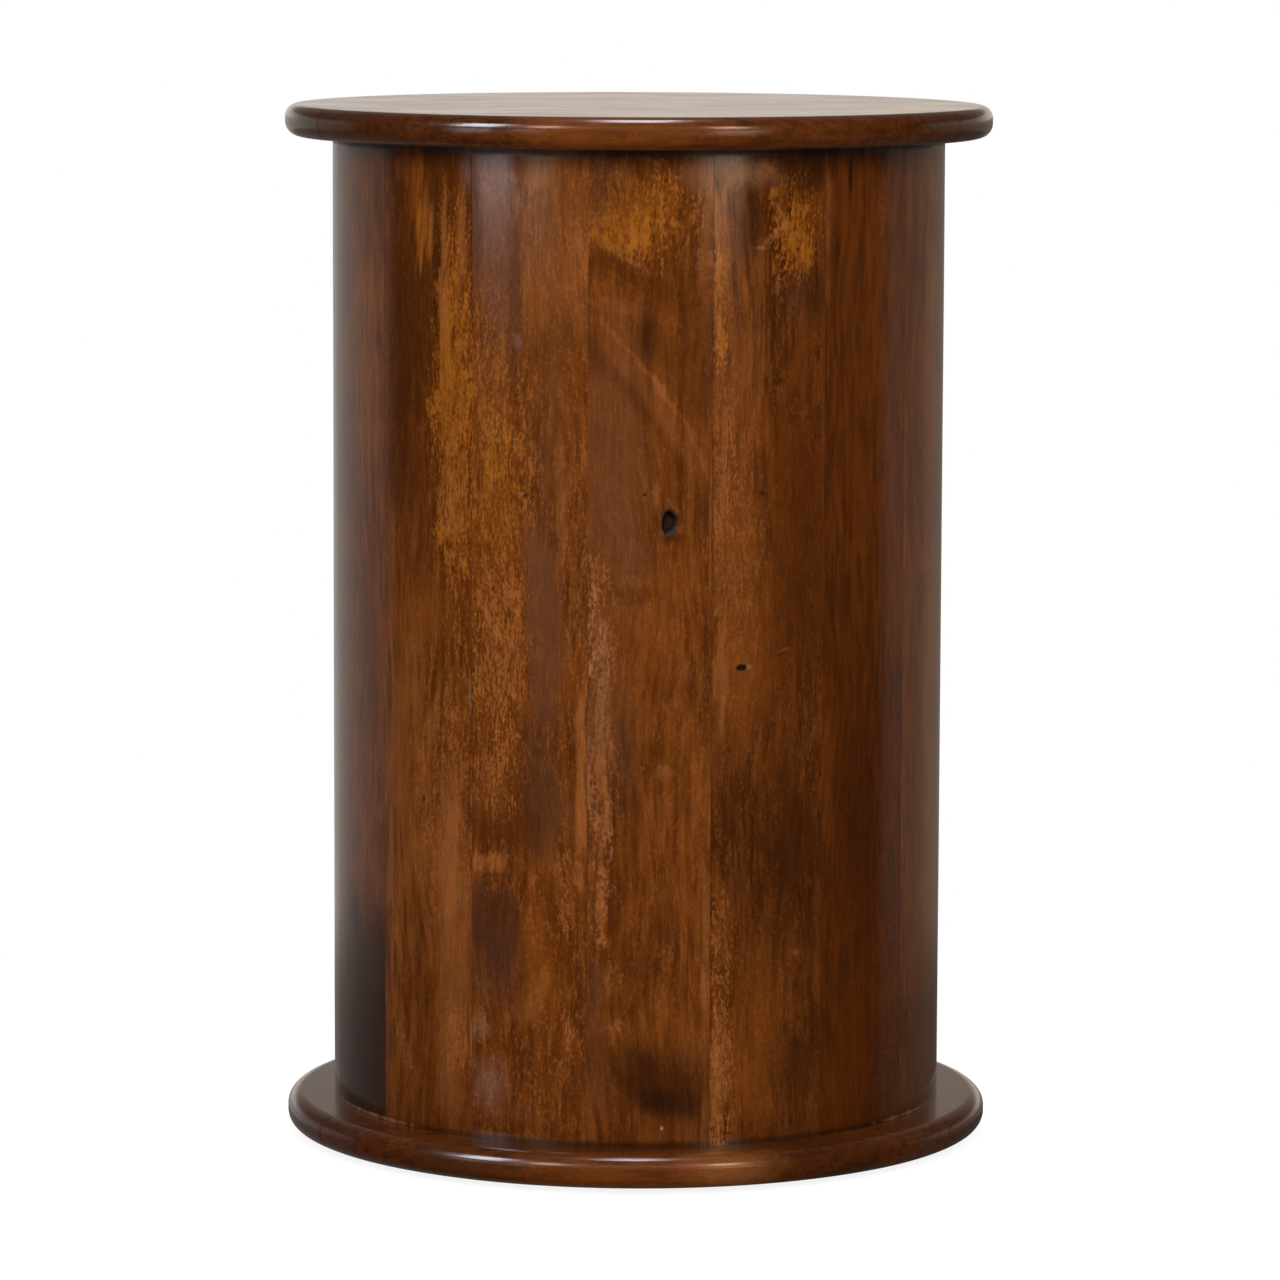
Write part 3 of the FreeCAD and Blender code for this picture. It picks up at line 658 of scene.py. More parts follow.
    def _upright(self, mesh: bmesh.types.BMesh, corner: Vector) -> bmesh.types.BMEdge:
        """The upright edge at a corner of the section."""
        return min(self._uprights(mesh), key=lambda edge: (edge.verts[0].co.xy - corner).length)

    def _face_place(self, point: Vector) -> Span:
        """Millimetres across the stave and above the floor, for a stave at the front."""
        return math.atan2(point.x, -point.y) * self.radius / MM, point.z / MM

    def _on_face(self, point: Vector) -> bool:
        """Whether a point lies on the round outside."""
        return point.xy.length > self.radius - self.eased_edge

    def _open_knot(self, mesh: bmesh.types.BMesh) -> None:
        """Sink the open knot into the face, after adding the faces that it needs."""
        for wide, tall in self.knot.windows:
            near = []
            for face in mesh.faces:
                across, up = self._face_place(face.calc_center_median())
                inside = abs(across - self.knot.at[0]) < wide and abs(up - self.knot.at[1]) < tall
                if inside and self._on_face(face.calc_center_median()):
                    near.append(face)
            edges = {edge for face in near for edge in face.edges}
            bmesh.ops.subdivide_edges(mesh, edges=list(edges), cuts=1, use_grid_fill=True)
            for vert in mesh.verts:
                if self._on_face(vert.co) and abs(self._face_place(vert.co)[0] - self.knot.at[0]) < wide:
                    vert.co.xy = vert.co.xy.normalized() * self.radius
        for vert in mesh.verts:
            if self._on_face(vert.co):
                sink = self.knot.sink(*self._face_place(vert.co)) * MM
                vert.co.xy = vert.co.xy * (1.0 - sink / self.radius)

    def _roughen(self, mesh: bmesh.types.BMesh, index: int) -> None:
        """Give the round outside the slight unevenness of hand sanding."""
        wide, tall, stride = self.ripple
        for vert in mesh.verts:
            if self._on_face(vert.co):
                wave = noise.noise(Vector((vert.co.x * wide, vert.co.z * tall, index * stride)))
                vert.co.xy = vert.co.xy * (1.0 - self.unevenness * (0.5 + 0.5 * wave) / self.radius)


@dataclass
class RoundSlab:
    """A round slab of boards glued edge to edge: the top or the base."""

    finish: WoodFinish
    looks: tuple[WoodLook, ...]
    stem: str
    slot: Slot
    upper_round: float
    lower_round: float
    glue_line: float = 0.01 * MM
    eased_edge: float = 0.05 * MM
    unevenness: float = 0.3 * MM
    ripple: Span = (22.0, 60.0)
    support: float = 0.6 * MM
    weld: float = 0.01 * MM
    saw_reach: float = 0.001 * MM
    round_steps: int = 9
    turns: int = 160
    sharp: float = 20.0

    def __post_init__(self) -> None:
        """Take the slab's place from the frame."""
        self.nodes = numbered(self.stem)
        low, high = joined_box(self.nodes)
        self.radius = (high.x - low.x) / 2
        self.bottom = low.z
        self.top = high.z

    def build(self) -> None:
        """Build and dress every board."""
        slab = self._turned()
        for index, node in enumerate(self.nodes):
            board = slab.copy()
            if index > 0:
                self._saw(board, self._joint(index - 1) + self.glue_line / 2, -1.0)
            if index < len(self.nodes) - 1:
                self._saw(board, self._joint(index) - self.glue_line / 2, 1.0)
            piece = keep_piece(f"round_{node}", board, node, self.sharp)
            piece.data.materials.append(self.finish.make(f"stained_{node}", self.looks[index]))
        slab.free()

    def _joint(self, index: int) -> float:
        """Where the joint behind a board crosses Y."""
        return (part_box(self.nodes[index])[1].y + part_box(self.nodes[index + 1])[0].y) / 2

    def _turned(self) -> bmesh.types.BMesh:
        """The whole round slab, turned from half of its section."""
        mesh = bmesh.new()
        places = ((0.0, self.bottom), (self.radius, self.bottom), (self.radius, self.top), (0.0, self.top))
        corners = [mesh.verts.new((x, 0.0, z)) for x, z in places]
        mesh.faces.new(corners)
        axis = mesh.edges.get((corners[3], corners[0]))
        for corner, size in ((corners[1], self.lower_round), (corners[2], self.upper_round)):
            bmesh.ops.bevel(mesh, geom=[corner], offset=size, affect="VERTICES",
                            segments=self.round_steps, profile=0.5, material=-1)
        bmesh.ops.delete(mesh, geom=mesh.faces[:], context="FACES_ONLY")
        bmesh.ops.delete(mesh, geom=[axis], context="EDGES")
        for edge in [edge for edge in mesh.edges if edge.calc_length() > self.radius / 2]:
            inner = min(edge.verts, key=lambda vert: vert.co.x)
            share = 1.0 - self.support / edge.calc_length()
            bmesh.utils.edge_split(edge, inner, share)
        bmesh.ops.spin(mesh, geom=mesh.verts[:] + mesh.edges[:], cent=(0.0, 0.0, 0.0), axis=(0.0, 0.0, 1.0),
                       angle=math.tau, steps=self.turns, use_merge=True)
        bmesh.ops.remove_doubles(mesh, verts=mesh.verts, dist=self.weld)
        bmesh.ops.recalc_face_normals(mesh, faces=mesh.faces)
        self._roughen(mesh)
        return mesh

    def _roughen(self, mesh: bmesh.types.BMesh) -> None:
        """Give the rim the slight unevenness of hand sanding, always inwards."""
        wide, tall = self.ripple
        for vert in mesh.verts:
            if vert.co.xy.length > self.radius - self.upper_round:
                place = Vector((vert.co.x * wide, vert.co.y * wide, vert.co.z * tall + self.top))
                wave = noise.noise(place)
                vert.co.xy = vert.co.xy * (1.0 - self.unevenness * (0.5 + 0.5 * wave) / self.radius)

    def _saw(self, mesh: bmesh.types.BMesh, level: float, away: float) -> None:
        """Saw off what lies past a level, close the cut and ease its edges.

        Args:
            mesh: the board so far.
            level: where the cut crosses Y.
            away: 1 to saw off what lies behind it, or -1 to saw off what lies in front.
        """
        parts = mesh.verts[:] + mesh.edges[:] + mesh.faces[:]
        cut = bmesh.ops.bisect_plane(mesh, geom=parts, dist=self.saw_reach, plane_co=(0.0, level, 0.0),
                                     plane_no=(0.0, away, 0.0), clear_outer=True)
        rim = [item for item in cut["geom_cut"] if isinstance(item, bmesh.types.BMEdge)]
        closed = bmesh.ops.edgeloop_fill(mesh, edges=rim)
        edges = {edge for face in closed["faces"] for edge in face.edges}
        bmesh.ops.bevel(mesh, geom=list(edges), offset=self.eased_edge, affect="EDGES", segments=2,
                        profile=0.5, material=-1, clamp_overlap=True)


@dataclass
class InnerWork:
    """Rings, tongues, dowels, screws and glides, which keep the shapes of the frame."""

    finish: WoodFinish
    raw: WoodLook = WoodLook(3.0, Tone.RAW_DARK, Tone.RAW_LIGHT, Tone.RAW_LIGHT,
                             flecks=0.2, depth=0.3, gloss=0.55)
    pegs: WoodLook = WoodLook(5.0, Tone.PEG_DARK, Tone.PEG_LIGHT, Tone.PEG_LIGHT,
                              flecks=0.2, depth=0.25, gloss=0.5)
    screw: PlainFinish = PlainFinish("screw_steel", low=(0.42, 0.36, 0.22), high=(0.62, 0.55, 0.36),
                                     grain=(0.5, 0.5, 0.5), roughness=(0.25, 0.45), metallic=1.0)
    nail: PlainFinish = PlainFinish("nail_steel", low=(0.33, 0.33, 0.34), high=(0.55, 0.55, 0.56),
                                    grain=(0.4, 0.4, 0.4), roughness=(0.3, 0.5), metallic=1.0)
    glide: PlainFinish = PlainFinish("glide_plastic", low=(0.020, 0.013, 0.009),
                                     high=(0.036, 0.024, 0.017), grain=(0.6, 0.6, 0.6),
                                     roughness=(0.4, 0.6))

    def dress(self) -> None:
        """Give every node that is still shown its finish."""
        finishes = {
            "upper_ring": self.finish.make("raw_wood", self.raw),
            "stave_splines": self.finish.make("joint_wood", self.pegs),
            "top_screws": self.screw.make(),
            "glide_nails": self.nail.make(),
            "glide_pads": self.glide.make(),
        }
        alike = {"lower_ring": "upper_ring", "top_dowels": "stave_splines", "base_dowels": "stave_splines",
                 "base_screws": "top_screws", "upper_stave": "top_screws", "lower_stave": "top_screws"}
        for stem, example in alike.items():
            finishes[stem] = finishes[example]
        for stem, material in finishes.items():
            for node in numbered(stem):
                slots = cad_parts[node].data.materials
                slots.clear()
                slots.append(material)
                log.info("%s: %s", node, material.name)


@dataclass
class Studio:
    """Camera, lamps, floor and backdrop."""

    eye: tuple[float, float, float] = (0.0, -3.064, 0.6254)
    pitch: float = math.radians(6.821)
    roll: float = math.radians(0.2)
    lens: float = 173.8
    sensor: float = 36.0
    shift: Span = (0.00208, -0.02015)
    ambient: float = 0.38
    key_power: float = 97.0
    key_size: Span = (2.6, 1.5)
    key_place: tuple[float, float, float] = (0.0, -3.3, 1.75)
    fill_power: float = 62.0
    fill_place: tuple[float, float, float] = (0.0, 3.3, 1.75)
    soft_aim: tuple[float, float, float] = (0.0, 0.0, 0.26)
    glint_aim: tuple[float, float, float] = (0.0, 0.0, 0.3)
    glint_distance: float = 4.0
    floor_half: float = 8.0
    floor_level: float = -0.2 * MM
    floor_paint: float = 0.3
    floor_lift: float = 0.82
    floor_fade: Span = (0.22, 0.60)

    def build(self) -> None:
        """Set up the whole studio."""
        scene = bpy.context.scene
        scene.view_settings.view_transform = "Standard"
        scene.camera = self._camera()
        scene.world = self._world()
        self._soft_lamps()
        self._glints()
        self._floor()

    def _camera(self) -> bpy.types.Object:
        """The camera at the photograph's angle."""
        data = bpy.data.cameras.new("camera")
        data.lens = self.lens
        data.sensor_width = self.sensor
        data.shift_x, data.shift_y = self.shift
        camera = bpy.data.objects.new("camera", data)
        aim = Matrix.Rotation(math.pi / 2 - self.pitch, 4, "X") @ Matrix.Rotation(self.roll, 4, "Z")
        camera.matrix_world = Matrix.Translation(self.eye) @ aim
        bpy.context.scene.collection.objects.link(camera)
        return camera

    def _world(self) -> bpy.types.World:
        """White for the camera, even light for the wood, and a pale backdrop for its gloss."""
        world = bpy.data.worlds.new("studio")
        world.use_nodes = True
        bench = NodeBench(world.node_tree)
        world.node_tree.nodes.clear()
        rays = bench.add("ShaderNodeLightPath").outputs
        even = bench.add("ShaderNodeBackground", {"Color": WHITE, "Strength": self.ambient})
        white = bench.add("ShaderNodeBackground", {"Color": WHITE, "Strength": 1.0})
        gloss = bench.add("ShaderNodeBackground", {"Color": self._backdrop(bench), "Strength": 1.0})
        camera = rays["Is Camera Ray"]
        shown = bench.add("ShaderNodeMixShader", {0: camera, 1: even.outputs[0], 2: white.outputs[0]})
        mirrored = bench.math("MAXIMUM", rays["Is Glossy Ray"], rays["Is Transmission Ray"])
        final = bench.add("ShaderNodeMixShader", {0: mirrored, 1: shown.outputs[0], 2: gloss.outputs[0]})
        bench.add("ShaderNodeOutputWorld", {"Surface": final.outputs[0]})
        return world

    def _backdrop(self, bench: NodeBench) -> Socket:
        """Colour of the room by direction: a pale wall behind the table, a grey floor, and a dim front."""
        ray = bench.add("ShaderNodeTexCoord").outputs["Generated"]
        parts = bench.add("ShaderNodeSeparateXYZ", {0: ray}).outputs
        behind = bench.math("DIVIDE", parts["Y"], bench.level_length(parts))
        left = bench.step(parts["X"], (-0.25, 0.25), (1.0, 0.0))
        lit_floor = bench.step(behind, (0.3, 1.0), (0.04, 0.32), smooth=False)
        floor = bench.math("ADD", bench.math("MULTIPLY", left, lit_floor), 0.20)
        floor = bench.math("MULTIPLY", floor, bench.step(parts["Z"], (-0.180, -0.162), (0.35, 1.0)))
        wall = bench.step(parts["Z"], (0.145, 0.175), (1.0, 0.2))
        wall = bench.math("MULTIPLY", wall, bench.step(behind, (0.75, 0.98), (0.4, 1.0)))
        rising = bench.step(parts["Z"], (-0.035, 0.0))
        room = bench.add("ShaderNodeMix", {0: rising, 2: floor, 3: wall}).outputs[0]
        glow = bench.math("MULTIPLY", room, bench.step(behind, (0.21, 0.33)))
        pale = bench.mix(left, (1.0, 0.86, 0.72, 1.0), (1.0, 0.93, 0.87, 1.0))
        colour = bench.mix(glow, (0.018, 0.016, 0.015, 1.0), pale)
        colour.node.clamp_factor = False
        return colour

    def _lamp(self, name: str, place: Vector, aim: Vector, size: Span, power: float,
              colour: tuple[float, float, float]) -> bpy.types.Object:
        """Hang a flat rectangular lamp.

        Args:
            name: the lamp's name.
            place: where it hangs.
            aim: the point that it faces.
            size: its width and height in metres.
            power: its power in watts.
            colour: its colour.

        Returns:
            The lamp.
        """
        data = bpy.data.lights.new(name, "AREA")
        data.shape = "RECTANGLE"
        data.size, data.size_y = size
        data.energy = power
        data.color = colour
        lamp = bpy.data.objects.new(name, data)
        facing = (aim - place).to_track_quat("-Z", "Y").to_matrix().to_4x4()
        lamp.matrix_world = Matrix.Translation(place) @ facing
        bpy.context.scene.collection.objects.link(lamp)
        return lamp

    def _soft_lamps(self) -> None:
        """A wide soft lamp by the camera and a fill light behind the table, both kept out of the gloss."""
        white = (1.0, 1.0, 1.0)
        rows = (
            ("key", self.key_place, self.key_power, True),
            ("fill", self.fill_place, self.fill_power, False),
        )
        for name, place, power, shadow in rows:
            lamp = self._lamp(name, Vector(place), Vector(self.soft_aim), self.key_size, power, white)
            lamp.data.use_shadow = shadow
            lamp.visible_glossy = False
            lamp.visible_camera = False

    def _glints(self) -> None:
        """Small far lamps that only show as glints on the rounded rims."""
        cool = (0.78, 0.86, 1.0)
        warm = (1.0, 0.80, 0.60)
        rows = (
            ("left_window", -54.0, 28.0, (0.9, 1.6), 96.0, cool),
            ("left_sill", -54.0, 3.6, (0.9, 0.5), 4.0, cool),
            ("upper_window", -3.0, 86.0, (0.8, 1.8), 80.0, cool),
            ("left_bulb", -30.0, 24.0, (0.6, 1.1), 26.0, warm),
            ("left_low_bulb", -36.0, 3.6, (0.7, 0.5), 2.5, warm),
            ("right_bulb", 30.0, 24.0, (0.6, 1.1), 26.0, warm),
            ("right_low_bulb", 31.0, 3.6, (1.1, 0.5), 6.0, warm),
        )
        middle = Vector(self.glint_aim)
        for name, heading, height, size, power, colour in rows:
            turn = math.radians(heading)
            rise = math.radians(height)
            level = math.cos(rise)
            away = Vector((math.sin(turn) * level, -math.cos(turn) * level, math.sin(rise)))
            lamp = self._lamp(name, middle + away * self.glint_distance, middle, size, power, colour)
            lamp.visible_diffuse = False
            lamp.visible_camera = False

    def _floor(self) -> None:
        """A pale floor that keeps the shadow near the table and fades to white further out."""
        mesh = bmesh.new()
        level = Matrix.Translation((0.0, 0.0, self.floor_level))
        bmesh.ops.create_grid(mesh, x_segments=1, y_segments=1, size=self.floor_half, matrix=level)
        data = bpy.data.meshes.new("floor")
        mesh.to_mesh(data)
        mesh.free()
        floor = bpy.data.objects.new("floor", data)
        bpy.context.scene.collection.objects.link(floor)
        floor.visible_glossy = False
        data.materials.append(self._floor_finish())

    def _floor_finish(self) -> bpy.types.Material:
        """Paint that is lifted towards white for the camera alone."""
        material = bpy.data.materials.new("pale_floor")
        material.use_nodes = True
        material.node_tree.nodes.clear()
        bench = NodeBench(material.node_tree)
        rays = bench.add("ShaderNodeLightPath").outputs
        position = bench.add("ShaderNodeTexCoord").outputs["Object"]
        reach = bench.add("ShaderNodeVectorMath", {0: position}, operation="LENGTH").outputs["Value"]
        lifted = bench.math("MULTIPLY", rays["Is Camera Ray"], self.floor_lift)
        fade = bench.math("MULTIPLY", bench.step(reach, self.floor_fade), rays["Is Camera Ray"])
        paint = bench.add("ShaderNodeBsdfDiffuse", {"Color": (*(self.floor_paint,) * 3, 1.0)})
        lift = bench.add("ShaderNodeEmission", {"Color": WHITE, "Strength": lifted})
        near = bench.add("ShaderNodeAddShader", {0: paint.outputs[0], 1: lift.outputs[0]})
        white = bench.add("ShaderNodeEmission", {"Color": WHITE, "Strength": 1.0})
        mixed = bench.add("ShaderNodeMixShader", {0: fade, 1: near.outputs[0], 2: white.outputs[0]})
        bench.add("ShaderNodeOutputMaterial", {"Surface": mixed.outputs[0]})
        return material


def stave_looks() -> tuple[WoodLook, ...]:
    """Looks of the sixteen staves, from the one at the front round to its left neighbour."""
    soft, streak, fleck, burl, solid = Field.SOFT, Field.STREAK, Field.FLECK, Field.BURL, Field.SOLID
    front = WoodLook(11.0, Tone.BROWN, Tone.WARM, Tone.LIGHT, flecks=0.3, patches=(
        Patch((-17.0, 350.0), (15.0, 48.0), Tone.MAUVE, 0.65, soft, 0.5, 0.9),
        Patch((20.0, 415.0), (14.0, 40.0), Tone.BROWN, 0.7, soft, 0.5, 0.9),
        Patch((-13.0, 308.0), (13.0, 14.0), Tone.MAUVE, 0.6, soft, 0.4, 0.9),
        Patch((-8.0, 468.0), (23.0, 18.0), Tone.AMBER, 0.6, burl, 0.5, 0.6),
        Patch((-9.0, 466.0), (21.0, 14.0), Tone.GOLD, 0.6, fleck, 1.0, 0.5),
        Patch((-10.0, 474.0), (12.0, 5.0), Tone.BROWN, 0.45, burl, 0.9, 0.5, 30.0),
        Patch((-22.0, 454.5), (10.0, 2.6), Tone.GOLD, 0.85, burl, 0.7, 0.5, -32.0),
        Patch((-9.0, 453.0), (9.0, 2.8), Tone.GOLD, 0.8, burl, 0.7, 0.5, 18.0),
        Patch((4.0, 460.5), (8.0, 3.4), Tone.GOLD, 0.6, fleck, 0.6, 0.6, 8.0),
        Patch((-25.0, 465.0), (4.0, 4.0), Tone.ORANGE, 0.7, burl, 0.7, 0.6),
        Patch((-14.0, 485.0), (5.0, 6.0), Tone.ORANGE, 0.6, streak, 0.5, 0.6),
        Patch((-26.0, 483.0), (8.0, 13.0), Tone.DUSK, 0.75, soft, 0.4, 0.8),
        Patch((-6.0, 487.0), (7.0, 5.0), Tone.DEEP, 0.65, soft, 0.5, 0.8),
        Patch((14.0, 467.0), (1.2, 12.0), Tone.DARK, 0.55, streak, 0.5, 0.7, -14.0),
        Patch((17.0, 463.0), (1.0, 14.0), Tone.DARK, 0.5, streak, 0.5, 0.7, -10.0),
        # painted sheen near the top right of the stave
        Patch((24.0, 485.0), (11.0, 9.0), Tone.PALE, 0.5, soft, 0.5, 0.7),
        Patch((27.0, 460.0), (5.0, 20.0), Tone.LIGHT, 0.7, burl, 0.6, 0.6),
        Patch((-13.0, 440.0), (18.0, 6.0), Tone.DARK, 0.7, soft, 0.6, 1.0, -26.0),
        Patch((7.0, 428.0), (11.0, 6.0), Tone.DARK, 0.55, soft, 0.6, 1.0, -40.0),
        Patch((-13.0, 446.5), (15.0, 1.2), Tone.ORANGE, 0.55, burl, 0.5, 0.7, -28.0),
        Patch((-10.0, 433.0), (13.0, 0.9), Tone.WARM, 0.6, burl, 0.5, 0.7, -34.0),
        Patch((-17.0, 424.0), (12.0, 3.0), Tone.LIGHT, 0.5, burl, 0.6, 0.7, -10.0),
        Patch((-0.5, 412.0), (4.5, 11.0), Tone.DEEP, 0.8, soft, 0.4, 0.9),
        Patch((-15.0, 397.0), (19.0, 5.5), Tone.LIGHT, 0.26, streak, 0.6, 1.0, -47.0),
        Patch((6.0, 372.0), (17.0, 4.6), Tone.LIGHT, 0.3, streak, 0.6, 1.0, -53.0),
        Patch((20.0, 349.0), (14.0, 4.0), Tone.LIGHT, 0.3, streak, 0.6, 1.0, -64.0),
        Patch((-13.0, 405.0), (16.0, 1.2), Tone.ORANGE, 0.45, streak, 0.6, 0.9, -47.0),
        Patch((-3.0, 393.0), (6.0, 1.4), Tone.ORANGE, 0.55, streak, 0.5, 0.8, -45.0),
        Patch((9.0, 378.0), (14.0, 1.2), Tone.ORANGE, 0.55, streak, 0.6, 0.9, -53.0),
        Patch((24.0, 351.0), (13.0, 1.1), Tone.ORANGE, 0.45, streak, 0.6, 0.9, -66.0),
        Patch((-15.0, 388.0), (15.0, 2.4), Tone.DARK, 0.35, soft, 0.6, 1.0, -48.0),
        Patch((3.0, 365.0), (16.0, 2.6), Tone.DARK, 0.45, soft, 0.6, 1.0, -54.0),
        Patch((16.0, 345.0), (12.0, 2.2), Tone.DARK, 0.45, soft, 0.6, 1.0, -62.0),
        Patch((23.0, 373.0), (10.0, 3.0), Tone.BROWN, 0.45, soft, 0.5, 0.9, -58.0),
        Patch((-27.0, 402.0), (4.0, 8.0), Tone.DARK, 0.55, soft, 0.5, 0.8),
        Patch((-7.0, 286.0), (11.0, 3.6), Tone.DARK, 0.65, burl, 0.6, 0.9),
        Patch((-8.0, 292.5), (5.0, 2.6), Tone.LIGHT, 0.55, burl, 0.6, 0.8),
        Patch((-25.0, 292.0), (4.5, 10.0), Tone.ORANGE, 0.6, fleck, 0.7, 0.6),
        Patch((-25.0, 265.0), (5.0, 14.0), Tone.PALE, 0.42, fleck, 0.7, 0.6),
        Patch((-24.0, 212.0), (5.0, 46.0), Tone.ORANGE, 0.45, streak, 0.5, 0.8),
        Patch((-24.0, 215.0), (6.0, 46.0), Tone.PALE, 0.42, fleck, 0.7, 0.8),
        Patch((-23.5, 152.0), (4.0, 26.0), Tone.ORANGE, 0.5, streak, 0.5, 0.7),
        Patch((-27.0, 222.0), (2.4, 30.0), Tone.DUSK, 0.5, streak, 0.6, 0.7),
        Patch((-22.5, 190.0), (4.0, 22.0), Tone.ORANGE, 0.55, fleck, 0.7, 0.6),
        Patch((-24.0, 132.0), (3.0, 13.0), Tone.ORANGE, 0.65, fleck, 0.8, 0.6),
        Patch((-18.0, 100.0), (4.0, 7.0), Tone.LIGHT, 0.6, fleck, 0.8, 0.6),
        Patch((-17.0, 75.0), (3.0, 4.0), Tone.ORANGE, 0.6, fleck, 0.7, 0.6),
        Patch((-13.0, 205.0), (6.0, 30.0), Tone.DUSK, 0.6, soft, 0.5, 0.9),
        Patch((7.0, 201.0), (4.0, 2.6), Tone.ORANGE, 0.5, burl, 0.6, 0.8, 24.0),
        Patch((-27.0, 95.0), (5.0, 26.0), Tone.DUSK, 0.6, soft, 0.5, 0.8),
        Patch((2.0, 49.0), (24.0, 14.0), Tone.DEEP, 0.9, soft, 0.6, 0.9, -12.0),
        Patch((9.5, 41.0), (12.0, 5.0), Tone.INK, 0.6, soft, 0.5, 0.9, -8.0),
        Patch((-25.0, 46.0), (7.0, 12.0), Tone.MAUVE, 0.6, soft, 0.5, 0.8),
        Patch((28.8, 318.0), (0.6, 26.0), Tone.LIGHT, 0.6, streak, 0.4, 0.6),
        Patch((27.9, 330.0), (0.5, 26.0), Tone.DARK, 0.6, streak, 0.4, 0.6),
        Patch((28.5, 80.0), (2.4, 80.0), Tone.LIGHT, 0.6, streak, 0.5, 0.6),
        Patch((6.6, 28.6), (0.7, 0.9), Tone.CHALK, 0.4, solid, 0.1, 0.6),
        # lighter wood and painted highlight on the lower right rim of the knot
        Patch((12.6, 317.5), (2.6, 2.6), Tone.LIGHT, 0.75, burl, 0.4, 0.7),
        Patch((3.0, 334.0), (1.8, 7.0), Tone.ORANGE, 0.55, soft, 0.5, 0.8, -6.0),
        Patch((11.5, 327.5), (4.0, 1.2), Tone.LIGHT, 0.65, soft, 0.4, 0.7, -52.0),
        Patch((8.5, 313.0), (7.0, 2.0), Tone.DARK, 0.6, soft, 0.4, 0.8),
        Patch((14.0, 322.0), (2.4, 3.0), Tone.RED, 0.6, soft, 0.4, 0.8),
        Patch((9.0, 320.8), (4.6, 7.2), Tone.DEEP, 0.7, soft, 0.25, 0.5, dull=0.2),
        Patch((9.0, 320.8), (3.9, 6.3), Tone.INK, 1.0, solid, 0.2, 0.25, dull=0.5),
        Patch((9.4, 325.6), (1.8, 1.2), Tone.DEEP, 0.7, solid, 0.3, 0.6),
        Patch((-2.6, 334.0), (1.2, 0.8), Tone.INK, 0.7, solid, 0.1, 0.5),
    ))
